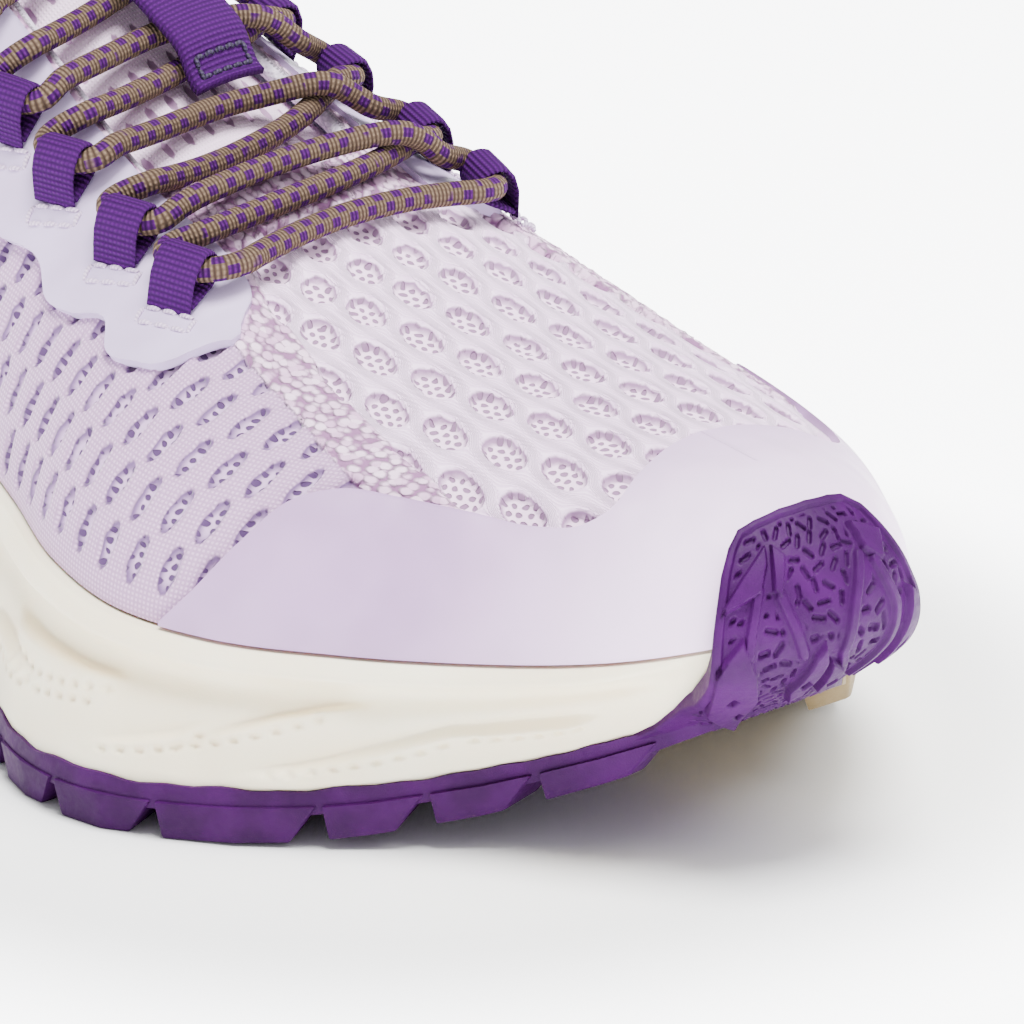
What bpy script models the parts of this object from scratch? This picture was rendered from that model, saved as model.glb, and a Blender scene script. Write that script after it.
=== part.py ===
"""Right trail running shoe: a hollow upper on a foam midsole and a lugged rubber outsole.

The frame stands on the floor: +X to the toe, +Y to the inner (medial) side, +Z up, with the
origin under the middle of the shoe. Tables and sizes are in millimetres.
"""

import math

import bmesh
import bpy
import numpy as np
from mathutils import Matrix

MM = 0.001

# Driving sizes
HALF_LENGTH = 131.75  # feather line of the upper, from its middle to the toe or heel
FEATHER_MIDDLE = 0.75
MIDDLE = (0.021, 0.044)  # middle of the whole shoe in the frame of the tables
SPINE_STRAIGHT = 70.0  # sections are square to X this far from the middle, and fan out beyond
SPINE_FAN = 0.275  # how strongly the sections fan out at toe and heel
UPPER_WALL = 2.2
COLLAR_WALL = 5.0
COLLAR_PAD_FRONT = -40.0  # the collar is padded behind this
UPPER_RIM_TOP = 50.0  # the lower rim of the upper lies below this height
GAP = 0.35  # clearance between pieces that meet
TOE_GAP = 0.5  # under the film round the toe, which curves both ways
BUMPER_GAP = 0.4
BUMPER_THICK = 1.8
FILM = 0.75  # thickness of the moulded film overlays
THROAT_FRONT = 38.0
THROAT_ROUND = 12.0
COLLAR_FRONT = -24.0
TONGUE_THICK = 4.0
TONGUE_GAP = 1.0  # under the upper, whose facets cut the curve short
TONGUE_FRONT = 54.0
TONGUE_TOP = -42.0
TONGUE_FREE = -26.0  # the tongue leaves the throat behind this
TONGUE_BOW = 0.009
INSOLE_THICK = 4.0
FOOTBED_DEPTH = 7.0  # from the midsole's rim down to its footbed
RIM_WIDTH = 4.2
OUTSOLE_THICK = 2.2
LACE_RADIUS = 1.6
LACE_CROSS = 0.68  # two strands cross this share of the way from the crest to the medial loops
LOOP_WIDTH = 6.2
LOOP_THICK = 0.8
LOOP_BASE = 3.2  # flat part of a loop behind its eye
LOOP_EYE = 0.9  # from the middle of a loop to the middle of its eye
LOOP_TURN = 18.0  # a loop points this far back from square to the throat
KEEPER_HALF_WIDTH = 5.2
KEEPER_THICK = 1.2

# Feather line, where the upper meets the midsole: a row for each section along the shoe
OUTLINE_COLUMNS = ("x", "lateral_y", "medial_y", "lateral_z", "medial_z")
OUTLINE = (
    (-131.0, 5.0, 5.0, 44.0, 44.0),
    (-126.0, -12.0, 22.0, 43.8, 43.8),
    (-115.0, -22.6, 32.6, 43.0, 43.0),
    (-96.0, -29.0, 38.5, 42.0, 42.0),
    (-70.0, -30.0, 37.5, 41.0, 41.0),
    (-45.0, -30.0, 33.5, 40.0, 40.5),
    (-20.0, -31.0, 31.0, 38.5, 39.5),
    (0.0, -33.0, 33.5, 36.8, 38.0),
    (20.0, -36.3, 39.0, 34.0, 35.0),
    (36.0, -41.0, 44.0, 31.2, 31.5),
    (50.0, -45.6, 47.0, 28.4, 28.8),
    (62.0, -46.0, 48.0, 26.0, 26.8),
    (74.0, -41.5, 47.0, 24.5, 25.5),
    (88.0, -33.0, 44.6, 24.2, 25.0),
    (103.0, -22.8, 38.8, 24.8, 25.6),
    (115.0, -16.8, 30.2, 26.9, 27.2),
    (124.5, -10.6, 21.8, 29.6, 29.6),
    (130.0, -3.0, 14.6, 31.6, 31.6),
    (132.5, 6.0, 6.0, 32.5, 32.5),
)
# Crest of the last: height and side shift of the ridge, and how full the section is
CREST_COLUMNS = ("x", "z", "y", "side_power", "top_power")
CREST = (
    (-131.0, 190.0, 5.0, 2.0, 1.5),
    (-96.0, 175.0, 5.0, 2.0, 1.5),
    (-60.0, 134.0, 3.0, 2.0, 1.5),
    (-40.0, 117.0, 2.0, 1.9, 1.55),
    (-25.0, 103.5, 1.5, 1.85, 1.6),
    (-10.0, 92.5, 2.0, 1.8, 1.6),
    (5.0, 82.5, 3.5, 1.8, 1.6),
    (20.0, 73.5, 5.0, 1.85, 1.65),
    (36.0, 65.3, 6.0, 1.95, 1.75),
    (50.0, 59.0, 6.5, 2.1, 1.85),
    (65.0, 53.4, 6.8, 2.2, 1.9),
    (80.0, 49.4, 7.0, 2.25, 2.0),
    (95.0, 47.0, 7.0, 2.3, 2.0),
    (110.0, 45.4, 6.5, 2.3, 2.0),
    (132.5, 43.0, 6.0, 2.3, 2.0),
)
# Lace loops, front to back: how far out they and the throat's edge lie from the throat's middle,
# and how far that middle is shifted from the crest
EYELET_COLUMNS = ("x", "loop", "throat", "shift")
EYELETS = (
    (46.4, 23.3, 17.1, -4.7),
    (35.1, 22.3, 16.1, -4.5),
    (21.4, 20.6, 14.4, -3.8),
    (9.6, 18.9, 12.7, -3.2),
    (-4.2, 17.8, 11.5, -2.2),
    (-17.6, 17.0, 10.6, -1.0),
)
EYELET_X = tuple(row[0] for row in EYELETS)
# Collar height behind the throat
COLLAR_COLUMNS = ("x", "z")
COLLAR = (
    (-131.0, 97.5),
    (-118.0, 94.0),
    (-100.0, 84.0),
    (-80.0, 75.5),
    (-60.0, 74.0),
    (-42.0, 79.5),
    (-24.0, 88.0),
)
# Back of the heel: how far the wall stands out at a height above the feather line
HEEL_COLUMNS = ("height", "out")
HEEL = ((0.0, 0.0), (12.0, 2.2), (26.0, 1.2), (40.0, -3.2), (52.0, -3.8))
# Lower edge of the midsole: how far out it stands from the feather line
FLARE_COLUMNS = ("x", "lateral", "medial")
FLARE = (
    (-131.0, 4.0, 4.0),
    (-96.0, 5.0, 4.5),
    (-45.0, 4.0, 3.0),
    (0.0, 4.0, 3.0),
    (38.0, 4.3, 3.6),
    (58.0, 5.5, 3.9),
    (70.0, 4.2, 3.6),
    (84.0, 1.8, 2.0),
    (95.0, -1.0, -0.5),
    (105.0, -3.5, -3.0),
    (115.0, -6.0, -5.0),
    (125.0, -8.0, -7.5),
    (132.5, -9.0, -9.0),
)
# Half width of the tongue
TONGUE_COLUMNS = ("x", "half_width")
TONGUE = (
    (-42.0, 20.0),
    (-39.0, 23.0),
    (-35.0, 22.0),
    (-26.0, 15.5),
    (8.0, 18.5),
    (40.0, 21.5),
    (54.0, 18.0),
)
# Top edge of the film round the toe, as the rise of the last at a place on the feather line
TOE_FILM_COLUMNS = ("x", "rise")
TOE_FILM = (
    (68.0, 0.0),
    (72.3, 12.9),
    (74.9, 24.1),
    (78.1, 37.6),
    (81.2, 41.5),
    (87.7, 43.0),
    (95.6, 43.0),
    (103.8, 42.1),
    (108.5, 44.5),
    (110.8, 50.0),
    (111.8, 68.0),
    (112.8, 84.0),
    (114.0, 90.0),
)
# Film along the throat: reach from the throat's middle to its inner and outer edge
EYESTAY_COLUMNS = ("x", "inner", "outer")
EYESTAY = (
    (-22.0, 10.9, 20.5),
    (-8.0, 12.4, 23.1),
    (6.0, 13.3, 26.0),
    (15.7, 14.9, 27.8),
    (25.8, 15.8, 28.8),
    (29.4, 16.2, 31.0),
    (35.0, 16.4, 31.5),
    (40.7, 16.6, 30.9),
    (44.3, 16.8, 33.7),
    (48.9, 17.5, 33.5),
    (52.5, 19.1, 31.9),
    (55.6, 22.3, 26.8),
)
MEDIAL_EYESTAY = 0.62  # the medial film is this share as wide, since that side is steeper
# Toe bumper: height of its top edge, as the rise of the last, at degrees round from the toe's tip
BUMPER_COLUMNS = ("turn", "rise")
BUMPER = (
    (-18.9, 40.0),
    (-16.8, 45.2),
    (-14.7, 48.9),
    (-10.7, 53.5),
    (-5.5, 56.6),
    (0.0, 57.0),
    (3.5, 55.0),
    (6.5, 47.0),
)
BUMPER_TURNS = (-18.9, -17.0, -14.5, -11.0, -7.5, -4.0, -1.0, 2.0, 4.5, 6.5)
# Strap across the tongue: height above the last along it
KEEPER_COLUMNS = ("x", "lift")
KEEPER = (
    (8.2, -2.1),
    (9.6, -2.0),
    (10.8, -0.9),
    (12.6, 1.9),
    (15.5, 2.7),
    (18.4, 1.9),
    (20.2, -0.9),
    (21.4, -2.0),
    (22.9, -2.1),
)
# Lugs along the edge of the sole: start and end along the feather line, and depth
EDGE_LUG_COLUMNS = ("start", "end", "depth")
LATERAL_LUGS = (
    (-124.0, -112.0, 13.0),
    (-108.0, -95.0, 14.0),
    (-91.0, -78.0, 14.0),
    (-74.0, -62.0, 14.0),
    (-57.0, -45.0, 11.0),
    (-40.0, -28.0, 11.0),
    (-23.0, -11.0, 12.0),
    (-6.0, 5.0, 13.0),
    (8.5, 20.3, 14.0),
    (21.0, 32.8, 15.0),
    (33.5, 45.6, 16.0),
    (46.2, 57.4, 16.0),
    (57.9, 69.1, 16.0),
    (69.5, 85.7, 15.0),
    (86.2, 95.8, 13.0),
    (96.3, 106.0, 12.0),
    (106.6, 119.0, 8.0),
)
MEDIAL_LUGS = (
    (-124.0, -112.0, 13.0),
    (-108.0, -95.0, 14.0),
    (-91.0, -78.0, 14.0),
    (-74.0, -62.0, 13.0),
    (-57.0, -45.0, 10.0),
    (-24.0, -12.0, 11.0),
    (-6.0, 6.0, 13.0),
    (10.0, 22.0, 14.0),
    (26.0, 38.0, 15.0),
    (42.0, 54.0, 15.0),
    (58.0, 70.0, 15.0),
    (74.0, 86.0, 14.0),
    (90.0, 101.0, 12.0),
    (114.0, 121.0, 6.0),
)
# Chevron lugs down the middle: place of the tip, half width, and how far the arms sweep back
CHEVRON_COLUMNS = ("tip", "half_width", "sweep")
CHEVRONS = (
    (-98.0, 12.0, -7.0),
    (-82.0, 12.0, -7.0),
    (-66.0, 11.0, -7.0),
    (8.0, 15.0, 8.0),
    (25.0, 17.0, 8.0),
    (42.0, 19.0, 8.0),
    (59.0, 19.0, 8.0),
    (76.0, 17.0, 8.0),
    (92.0, 13.0, 7.0),
)
CHEVRON_LENGTH = 8.0
LUG_STAND = 1.1  # edge lugs stand out this far from the midsole
# Places along the feather line where the pieces have a section
STATIONS = (
    -131, -129, -124, -117, -108, -97, -86, -75, -64, -53, -42, -32, -22, -12, -2, 8, 18, 26,
    32, 35.5, 38, 45, 53, 61, 69, 77, 85, 92, 99, 106, 112, 118, 123, 127, 130, 132, 132.5,
)
# Rows up the side of the midsole, as shares of its height
SIDE_ROWS = (0.0, 0.13, 0.28, 0.44, 0.59, 0.71, 0.82, 0.92, 1.0)
# Rows across the underside, as shares of the way from its edge to the centre line
UNDER_SHARES = (0.0, 0.28, 0.64, 1.0)
INSERT_BACK = -32.0  # the taupe rubber starts and ends at these stations
INSERT_FRONT = 123.0
# Underside of the midsole and the faces of the lugs along the shoe
UNDER_COLUMNS = ("x", "midsole_z", "lug_z")
UNDER = (
    (-135.0, 13.5, 8.5),
    (-126.0, 9.6, 3.6),
    (-116.0, 7.2, 0.6),
    (-108.0, 6.5, 0.0),
    (-62.0, 6.5, 0.0),
    (-45.0, 8.0, 1.2),
    (-25.0, 8.6, 1.8),
    (-8.0, 7.0, 0.6),
    (2.0, 6.3, 0.0),
    (74.0, 6.3, 0.0),
    (85.0, 6.8, 0.7),
    (92.0, 7.9, 2.2),
    (100.0, 10.0, 4.6),
    (108.0, 13.0, 8.0),
    (116.0, 16.8, 12.2),
    (127.0, 23.5, 19.5),
)


def column(columns, rows, name):
    return np.array([row[columns.index(name)] for row in rows])


def curve_through(knots, values, at):
    """Smooth curve through a table: cubic pieces whose slopes come from the rows beside them."""
    knots, values, at = (np.asarray(a, float) for a in (knots, values, at))
    step = np.diff(knots)
    rise = np.diff(values) / step
    slope = np.empty_like(values)
    slope[1:-1] = (rise[:-1] * step[1:] + rise[1:] * step[:-1]) / (step[:-1] + step[1:])
    slope[0], slope[-1] = rise[0], rise[-1]
    at = np.clip(at, knots[0], knots[-1])
    k = np.clip(np.searchsorted(knots, at, side="right") - 1, 0, len(step) - 1)
    t = (at - knots[k]) / step[k]
    h00, h10 = (1 + 2 * t) * (1 - t) ** 2, t * (1 - t) ** 2
    h01, h11 = t * t * (3 - 2 * t), t * t * (t - 1)
    bent = h10 * step[k] * slope[k] + h11 * step[k] * slope[k + 1]
    return h00 * values[k] + h01 * values[k + 1] + bent


def lookup(columns, rows, name, at):
    """A table's column at other places along its first column."""
    return curve_through(column(columns, rows, columns[0]), column(columns, rows, name), at)


def closed_column(lateral, medial):
    """Knots and values of a closed curve round the shoe: heel, lateral side, toe, medial side.
    One turn is repeated at each end, so that the curve closes smoothly."""
    angle = np.arccos((FEATHER_MIDDLE - column(OUTLINE_COLUMNS, OUTLINE, "x")) / HALF_LENGTH)
    knots = np.concatenate([angle, (2 * math.pi - angle[::-1])[1:-1]])
    out = column(OUTLINE_COLUMNS, OUTLINE, lateral)
    back = column(OUTLINE_COLUMNS, OUTLINE, medial)
    values = np.concatenate([out, back[::-1][1:-1]])
    turns = (-2 * math.pi, 0, 2 * math.pi)
    return np.concatenate([knots + t for t in turns]), np.tile(values, len(turns))


OUTLINE_Y = closed_column("lateral_y", "medial_y")
OUTLINE_Z = closed_column("lateral_z", "medial_z")


def feather(angle):
    """Points of the feather line. Angle 0 is the back of the heel, pi the toe, and the lateral
    side lies between them."""
    angle = np.asarray(angle, float)
    x = FEATHER_MIDDLE - HALF_LENGTH * np.cos(angle)
    return np.stack([x, curve_through(*OUTLINE_Y, angle), curve_through(*OUTLINE_Z, angle)], -1)


def feather_out(angle):
    """Level direction out of the shoe at the feather line."""
    small = 0.01
    along = feather(np.asarray(angle) + small) - feather(np.asarray(angle) - small)
    out = np.stack([along[..., 1], -along[..., 0]], -1)
    return out / np.linalg.norm(out, axis=-1, keepdims=True)


def spine(x):
    """Where the section that starts at x on the feather line meets the shoe's centre line."""
    x = np.asarray(x, float)
    off = x - FEATHER_MIDDLE
    beyond = np.clip(np.abs(off) - SPINE_STRAIGHT, 0, None)
    middle = x - np.sign(off) * SPINE_FAN * beyond**2 / (HALF_LENGTH - SPINE_STRAIGHT)
    return np.stack([middle, lookup(CREST_COLUMNS, CREST, "y", middle)], -1)


def last_point(angle, rise):
    """Outer surface of the upper. Rise goes from 0 at the feather line to 90 degrees at the crest."""
    angle, rise = np.broadcast_arrays(np.asarray(angle, float), np.asarray(rise, float))
    foot = feather(angle)
    centre = spine(foot[..., 0])
    side = lookup(CREST_COLUMNS, CREST, "side_power", centre[..., 0])
    top = lookup(CREST_COLUMNS, CREST, "top_power", centre[..., 0])
    reach = np.clip(np.cos(np.radians(rise)), 0, 1) ** (2 / side)
    lift = np.clip(np.sin(np.radians(rise)), 0, 1) ** (2 / top)
    plan = centre + (foot[..., :2] - centre) * reach[..., None]
    crest = lookup(CREST_COLUMNS, CREST, "z", plan[..., 0])
    height = (crest - foot[..., 2]) * lift
    behind = FEATHER_MIDDLE - foot[..., 0] - SPINE_STRAIGHT
    heel = np.clip(behind / (HALF_LENGTH - SPINE_STRAIGHT), 0, 1) ** 1.5
    out = lookup(HEEL_COLUMNS, HEEL, "out", height) * heel
    plan = plan + feather_out(angle) * out[..., None]
    return np.concatenate([plan, (foot[..., 2] + height)[..., None]], -1)


def eyelet(x, name):
    """A column of the eyelet table at a place along the shoe."""
    return np.interp(x, EYELET_X[::-1], column(EYELET_COLUMNS, EYELETS, name)[::-1])


def throat_half_width(x):
    """Half the width of the throat, with a round end at the vamp."""
    end = np.clip((THROAT_FRONT - np.asarray(x, float)) / THROAT_ROUND, 0, 1)
    return eyelet(x, "throat") * np.sqrt(1 - (1 - end) ** 2)


def top_edge(angle):
    """Rise, in degrees, of the upper's top edge: crest, then throat, then collar."""
    angle = np.asarray(angle, float)
    foot = feather(angle)
    centre = spine(foot[..., 0])
    x = centre[..., 0]
    side = lookup(CREST_COLUMNS, CREST, "side_power", x)
    top = lookup(CREST_COLUMNS, CREST, "top_power", x)
    width = np.linalg.norm(foot[..., :2] - centre, axis=-1)
    lean = np.sign(np.sin(angle)) * eyelet(x, "shift") / eyelet(x, "throat")
    reach = throat_half_width(x) * (1 - lean)
    throat = np.degrees(np.arccos(np.clip(reach / width, 0, 1) ** (side / 2)))
    tall = lookup(CREST_COLUMNS, CREST, "z", x) - foot[..., 2]
    collar = lookup(COLLAR_COLUMNS, COLLAR, "z", foot[..., 0]) - foot[..., 2]
    wall = np.degrees(np.arcsin(np.clip(collar / tall, 0, 1) ** (top / 2)))
    blend = np.clip((COLLAR_FRONT + 6 - x) / 18.0, 0, 1)
    blend = blend * blend * (3 - 2 * blend)
    return throat * (1 - blend) + wall * blend


def angle_at(x, medial=False):
    """Angle round the feather line of a place along the shoe."""
    angle = np.arccos(np.clip((FEATHER_MIDDLE - np.asarray(x, float)) / HALF_LENGTH, -1, 1))
    return 2 * math.pi - angle if medial else angle


def under(x, name):
    """Heights of the underside, with straight lines between the rows so that flats stay flat."""
    return np.interp(x, column(UNDER_COLUMNS, UNDER, "x"), column(UNDER_COLUMNS, UNDER, name))


def midsole_side(angle, height):
    """Outer side of the midsole. Height goes from 0 at its lower edge to 1 at the feather line."""
    angle, height = np.broadcast_arrays(np.asarray(angle, float), np.asarray(height, float))
    foot = feather(angle)
    lateral_out = lookup(FLARE_COLUMNS, FLARE, "lateral", foot[..., 0])
    medial_out = lookup(FLARE_COLUMNS, FLARE, "medial", foot[..., 0])
    side = 0.5 - 0.5 * np.sin(angle)
    low_out = lateral_out * (1 - side) + medial_out * side
    normal = feather_out(angle)
    low = foot[..., :2] + normal * low_out[..., None]
    low_z = under(low[..., 0], "midsole_z")
    z = low_z + (foot[..., 2] - GAP - low_z) * height
    plain = np.clip((124.0 - foot[..., 0]) / 8.0, 0, 1)  # no roll where the bumper covers it
    lip = 1.3 * plain * np.exp(-(((height - 0.9) / 0.09) ** 2))
    waist = -1.6 * plain * np.exp(-(((height - 0.7) / 0.12) ** 2))
    phase = foot[..., 0] / 26.0 - 1.1 * height * np.clip(3 * np.sin(angle), -1, 1)
    swell = np.sin(math.pi * np.clip(height / 0.62, 0, 1)) ** 2
    wave = 0.7 * plain * np.sin(2 * math.pi * phase) * swell
    out = low_out * (1 - height) ** 1.3 + 0.9 * height + lip + waist + wave
    plan = foot[..., :2] + normal * out[..., None]
    return np.concatenate([plan, z[..., None]], -1)


# Mesh helpers


def new_object(name, mesh, colour, roughness):
    material = bpy.data.materials.new(name)
    material.use_nodes = True
    shader = material.node_tree.nodes["Principled BSDF"]
    shader.inputs["Base Color"].default_value = (*colour, 1)
    shader.inputs["Roughness"].default_value = roughness
    mesh.materials.append(material)
    mesh.transform(Matrix.Translation((-MIDDLE[0] * MM, -MIDDLE[1] * MM, 0.0)))
    part = bpy.data.objects.new(name, mesh)
    bpy.context.scene.collection.objects.link(part)
    return part


def mesh_of(name, points, faces):
    """Mesh of points in millimetres, with points that coincide made one."""
    mesh = bpy.data.meshes.new(name)
    mesh.from_pydata((np.asarray(points) * MM).tolist(), [], faces)
    work = bmesh.new()
    work.from_mesh(mesh)
    bmesh.ops.remove_doubles(work, verts=work.verts, dist=0.00001)
    bmesh.ops.dissolve_degenerate(work, edges=work.edges, dist=0.00001)
    work.to_mesh(mesh)
    work.free()
    return mesh


def grid_faces(rows, columns, first=0, turn=None):
    """Triangles of a grid of points that is stored row by row. The diagonals change hand halfway
    along and across, or at the column asked for, so that the two halves of the shoe never give
    the same triangle at its ends."""
    turn = (columns - 1) / 2 if turn is None else turn
    faces = []
    for i in range(rows - 1):
        for j in range(columns - 1):
            a = first + i * columns + j
            b = a + columns
            if (j < turn) != (i >= (rows - 1) / 2):
                faces += [(a, b, b + 1), (a, b + 1, a + 1)]
            else:
                faces += [(a, b, a + 1), (b, b + 1, a + 1)]
    return faces


def turn_out(mesh):
    """Point the faces of a closed mesh outwards."""
    work = bmesh.new()
    work.from_mesh(mesh)
    bmesh.ops.recalc_face_normals(work, faces=work.faces)
    work.to_mesh(mesh)
    work.free()


def shell(name, points, faces, low, high, level_below=None):
    """Closed mesh between two offsets of an open surface, along its normals. At a rim that lies
    below a height, the offsets are level."""
    mesh = mesh_of(name, points, faces)
    work = bmesh.new()
    work.from_mesh(mesh)
    work.normal_update()
    work.verts.index_update()
    base = np.array([v.co for v in work.verts]) / MM
    normal = np.array([v.normal for v in work.verts])
    sides = [[v.index for v in f.verts] for f in work.faces]
    loops = [e.link_loops[0] for e in work.edges if e.is_boundary]
    rim = [(loop.vert.index, loop.link_loop_next.vert.index) for loop in loops]
    work.free()
    if level_below is not None:
        at_rim = np.zeros(len(base), bool)
        at_rim[[v for edge in rim for v in edge]] = True
        normal[at_rim & (base[:, 2] < level_below), 2] = 0.0
        normal /= np.linalg.norm(normal, axis=1, keepdims=True)
    low = low(base) if callable(low) else np.full(len(base), low)
    high = high(base) if callable(high) else np.full(len(base), high)
    count = len(base)
    points = np.concatenate([base + normal * high[:, None], base + normal * low[:, None]])
    faces = sides + [[v + count for v in reversed(f)] for f in sides]
    faces += [(b, a, a + count, b + count) for a, b in rim]
    mesh = mesh_of(name, points, faces)
    turn_out(mesh)
    return mesh


def union(body, other):
    """Join another mesh onto a body with a Boolean, and give the joined mesh back."""
    work = bpy.data.objects.new("work", body)
    tool = bpy.data.objects.new("tool", other)
    for piece in (work, tool):
        bpy.context.scene.collection.objects.link(piece)
    step = work.modifiers.new("join", "BOOLEAN")
    step.operation = "UNION"
    step.solver = "EXACT"
    step.use_self = True
    step.object = tool
    bpy.context.view_layer.update()
    graph = bpy.context.evaluated_depsgraph_get()
    joined = bpy.data.meshes.new_from_object(work.evaluated_get(graph))
    for piece in (work, tool):
        bpy.data.objects.remove(piece)
    clean = bmesh.new()
    clean.from_mesh(joined)
    bmesh.ops.triangulate(clean, faces=clean.faces)
    bmesh.ops.remove_doubles(clean, verts=clean.verts, dist=0.00002)
    bmesh.ops.dissolve_degenerate(clean, edges=clean.edges, dist=0.00002)
    clean.to_mesh(joined)
    clean.free()
    return joined


def both_sides(stations, place):
    """Points of the lateral and then the medial half: a row of points for each station."""
    halves = [place(angle_at(np.array(stations, float), medial)) for medial in (False, True)]
    return np.concatenate([half.reshape(-1, 3) for half in halves])


def half_faces(stations, columns, turn=None):
    """Faces of both halves, turned so that they look out of the shoe."""
    lateral = grid_faces(stations, columns, 0, turn)
    medial = [tuple(reversed(f)) for f in grid_faces(stations, columns, stations * columns, turn)]
    return lateral + medial


def surface(stations, place, columns, turn=None):
    return both_sides(stations, place), half_faces(len(stations), columns, turn)


# Upper


def build_upper():
    steps = np.linspace(0, 1, 10)
    def place(angle):
        return last_point(angle[:, None], top_edge(angle)[:, None] * steps)
    points, faces = surface(STATIONS, place, len(steps))

    def inner(base):
        back = np.clip((COLLAR_PAD_FRONT - base[:, 0]) / 22.0, 0, 1)
        edge = lookup(COLLAR_COLUMNS, COLLAR, "z", np.minimum(base[:, 0], COLLAR_FRONT))
        near = np.clip(1 - (edge - base[:, 2]) / 26.0, 0, 1)
        return -UPPER_WALL - (COLLAR_WALL - UPPER_WALL) * back * np.sin(math.pi * near**0.7) ** 0.8

    mesh = shell("upper", points, faces, inner, 0.0, level_below=UPPER_RIM_TOP)
    return new_object("upper", mesh, (0.77, 0.69, 0.79), 0.85)


def reach_rise(x, reach, medial):
    """Rise of the place on the last that lies a level reach out from the crest."""
    foot = feather(angle_at(x, medial))
    centre = spine(foot[..., 0])
    side = lookup(CREST_COLUMNS, CREST, "side_power", centre[..., 0])
    width = np.linalg.norm(foot[..., :2] - centre, axis=-1)
    return np.degrees(np.arccos(np.clip(reach / width, 0, 1) ** (side / 2)))


def throat_point(x, reach):
    """Place on the last at a signed reach from the throat's middle, lateral below zero."""
    x, reach = np.broadcast_arrays(np.asarray(x, float), np.asarray(reach, float))
    reach = reach + eyelet(x, "shift")
    lateral = last_point(angle_at(x), reach_rise(x, np.abs(reach), False))
    medial = last_point(angle_at(x, True), reach_rise(x, np.abs(reach), True))
    return np.where((reach < 0)[..., None], lateral, medial)


def throat_frame(x, reach):
    """Place on the last with the directions along the throat, across it and out of it."""
    small = 0.5
    here = throat_point(x, reach)
    along = throat_point(x + small, reach) - throat_point(x - small, reach)
    across = throat_point(x, reach + small) - throat_point(x, reach - small)
    out = np.cross(along, across)
    along, across, out = (v / np.linalg.norm(v) for v in (along, across, out))
    return here, along, np.cross(out, along), out


def build_toe_overlay():
    stations = (
        69.5, 72, 74.5, 78, 85, 92, 99, 106, 109, 111.2, 112, 113.5, 118, 123, 127, 130, 132, 132.5,
    )
    steps = np.linspace(0.02, 1, 8)

    def place(angle):
        rise = np.interp(feather(angle)[:, 0], column(TOE_FILM_COLUMNS, TOE_FILM, "x"),
                         column(TOE_FILM_COLUMNS, TOE_FILM, "rise"))
        return last_point(angle[:, None], rise[:, None] * steps)

    points, faces = surface(stations, place, len(steps))
    mesh = shell("toe_overlay", points, faces, TOE_GAP, TOE_GAP + FILM)
    return new_object("toe_overlay", mesh, (0.73, 0.67, 0.77), 0.5)


def build_eyestay(name, medial):
    x = np.linspace(EYESTAY[0][0], EYESTAY[-1][0], 22)
    side = 1 if medial else -1
    inner = lookup(EYESTAY_COLUMNS, EYESTAY, "inner", x)[:, None]
    outer = lookup(EYESTAY_COLUMNS, EYESTAY, "outer", x)[:, None]
    share = MEDIAL_EYESTAY if medial else 1.0
    reach = inner + (outer - inner) * share * np.linspace(0, 1, 4)
    points = throat_point(x[:, None], side * reach).reshape(-1, 3)
    faces = grid_faces(len(x), 4)
    if not medial:
        faces = [tuple(reversed(f)) for f in faces]
    mesh = shell(name, points, faces, GAP, GAP + FILM)
    return new_object(name, mesh, (0.62, 0.60, 0.69), 0.5)


def tongue_point(x, reach):
    """Last surface under the throat, and a flatter plate where the tongue stands free."""
    x, reach = np.broadcast_arrays(np.asarray(x, float), np.asarray(reach, float))
    free = np.clip((TONGUE_FREE - x) / 9.0, 0, 1)
    free = (free * free * (3 - 2 * free))[..., None]
    z = lookup(CREST_COLUMNS, CREST, "z", x) - TONGUE_BOW * reach**2
    middle = lookup(CREST_COLUMNS, CREST, "y", x) + eyelet(x, "shift")
    plate = np.stack([x, middle + reach, z], -1)
    return throat_point(x, reach) * (1 - free) + plate * free


def build_tongue():
    x = np.array((TONGUE_FRONT, 46, 40, 32, 22, 11, 0, -10, -19, -26, -31, -35, -39, TONGUE_TOP))
    widths = column(TONGUE_COLUMNS, TONGUE, "half_width")
    half = np.interp(x, column(TONGUE_COLUMNS, TONGUE, "x"), widths)
    points = tongue_point(x[:, None], half[:, None] * np.linspace(-1, 1, 9)).reshape(-1, 3)
    faces = [tuple(reversed(f)) for f in grid_faces(len(x), 9)]
    depth = UPPER_WALL + TONGUE_GAP
    mesh = shell("tongue", points, faces, -depth - TONGUE_THICK, -depth)
    return new_object("tongue", mesh, (0.80, 0.74, 0.80), 0.9)


# Sole


def footbed_depth(x):
    return FOOTBED_DEPTH - 3.5 * np.clip((x - 80.0) / 30.0, 0, 1)


def inset(angle, distance):
    """Feather line moved into the shoe by a distance."""
    foot = feather(angle)
    plan = foot[..., :2] - feather_out(angle) * distance
    return np.concatenate([plan, foot[..., 2:]], -1)


def toward_spine(points, angle, share):
    """Points moved a share of the way to the shoe's centre line, in plan."""
    centre = spine(feather(angle)[..., 0])
    return points[..., :2] + (centre - points[..., :2]) * share


def bed_ring(angle, distance, share, lift):
    edge = inset(angle, distance)
    plan = toward_spine(edge, angle, share)
    mirror = feather(2 * math.pi - angle)[..., 2]
    level = edge[..., 2] * (1 - share / 2) + mirror * share / 2
    z = level - GAP - footbed_depth(plan[..., 0]) + lift
    return np.concatenate([plan, z[..., None]], -1)


def under_ring(angle, share, out, lift):
    low = midsole_side(angle, 0.0)[..., :2] + feather_out(angle) * out
    plan = toward_spine(low, angle, share)
    return np.concatenate([plan, (under(plan[..., 0], "midsole_z") + lift)[..., None]], -1)


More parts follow.
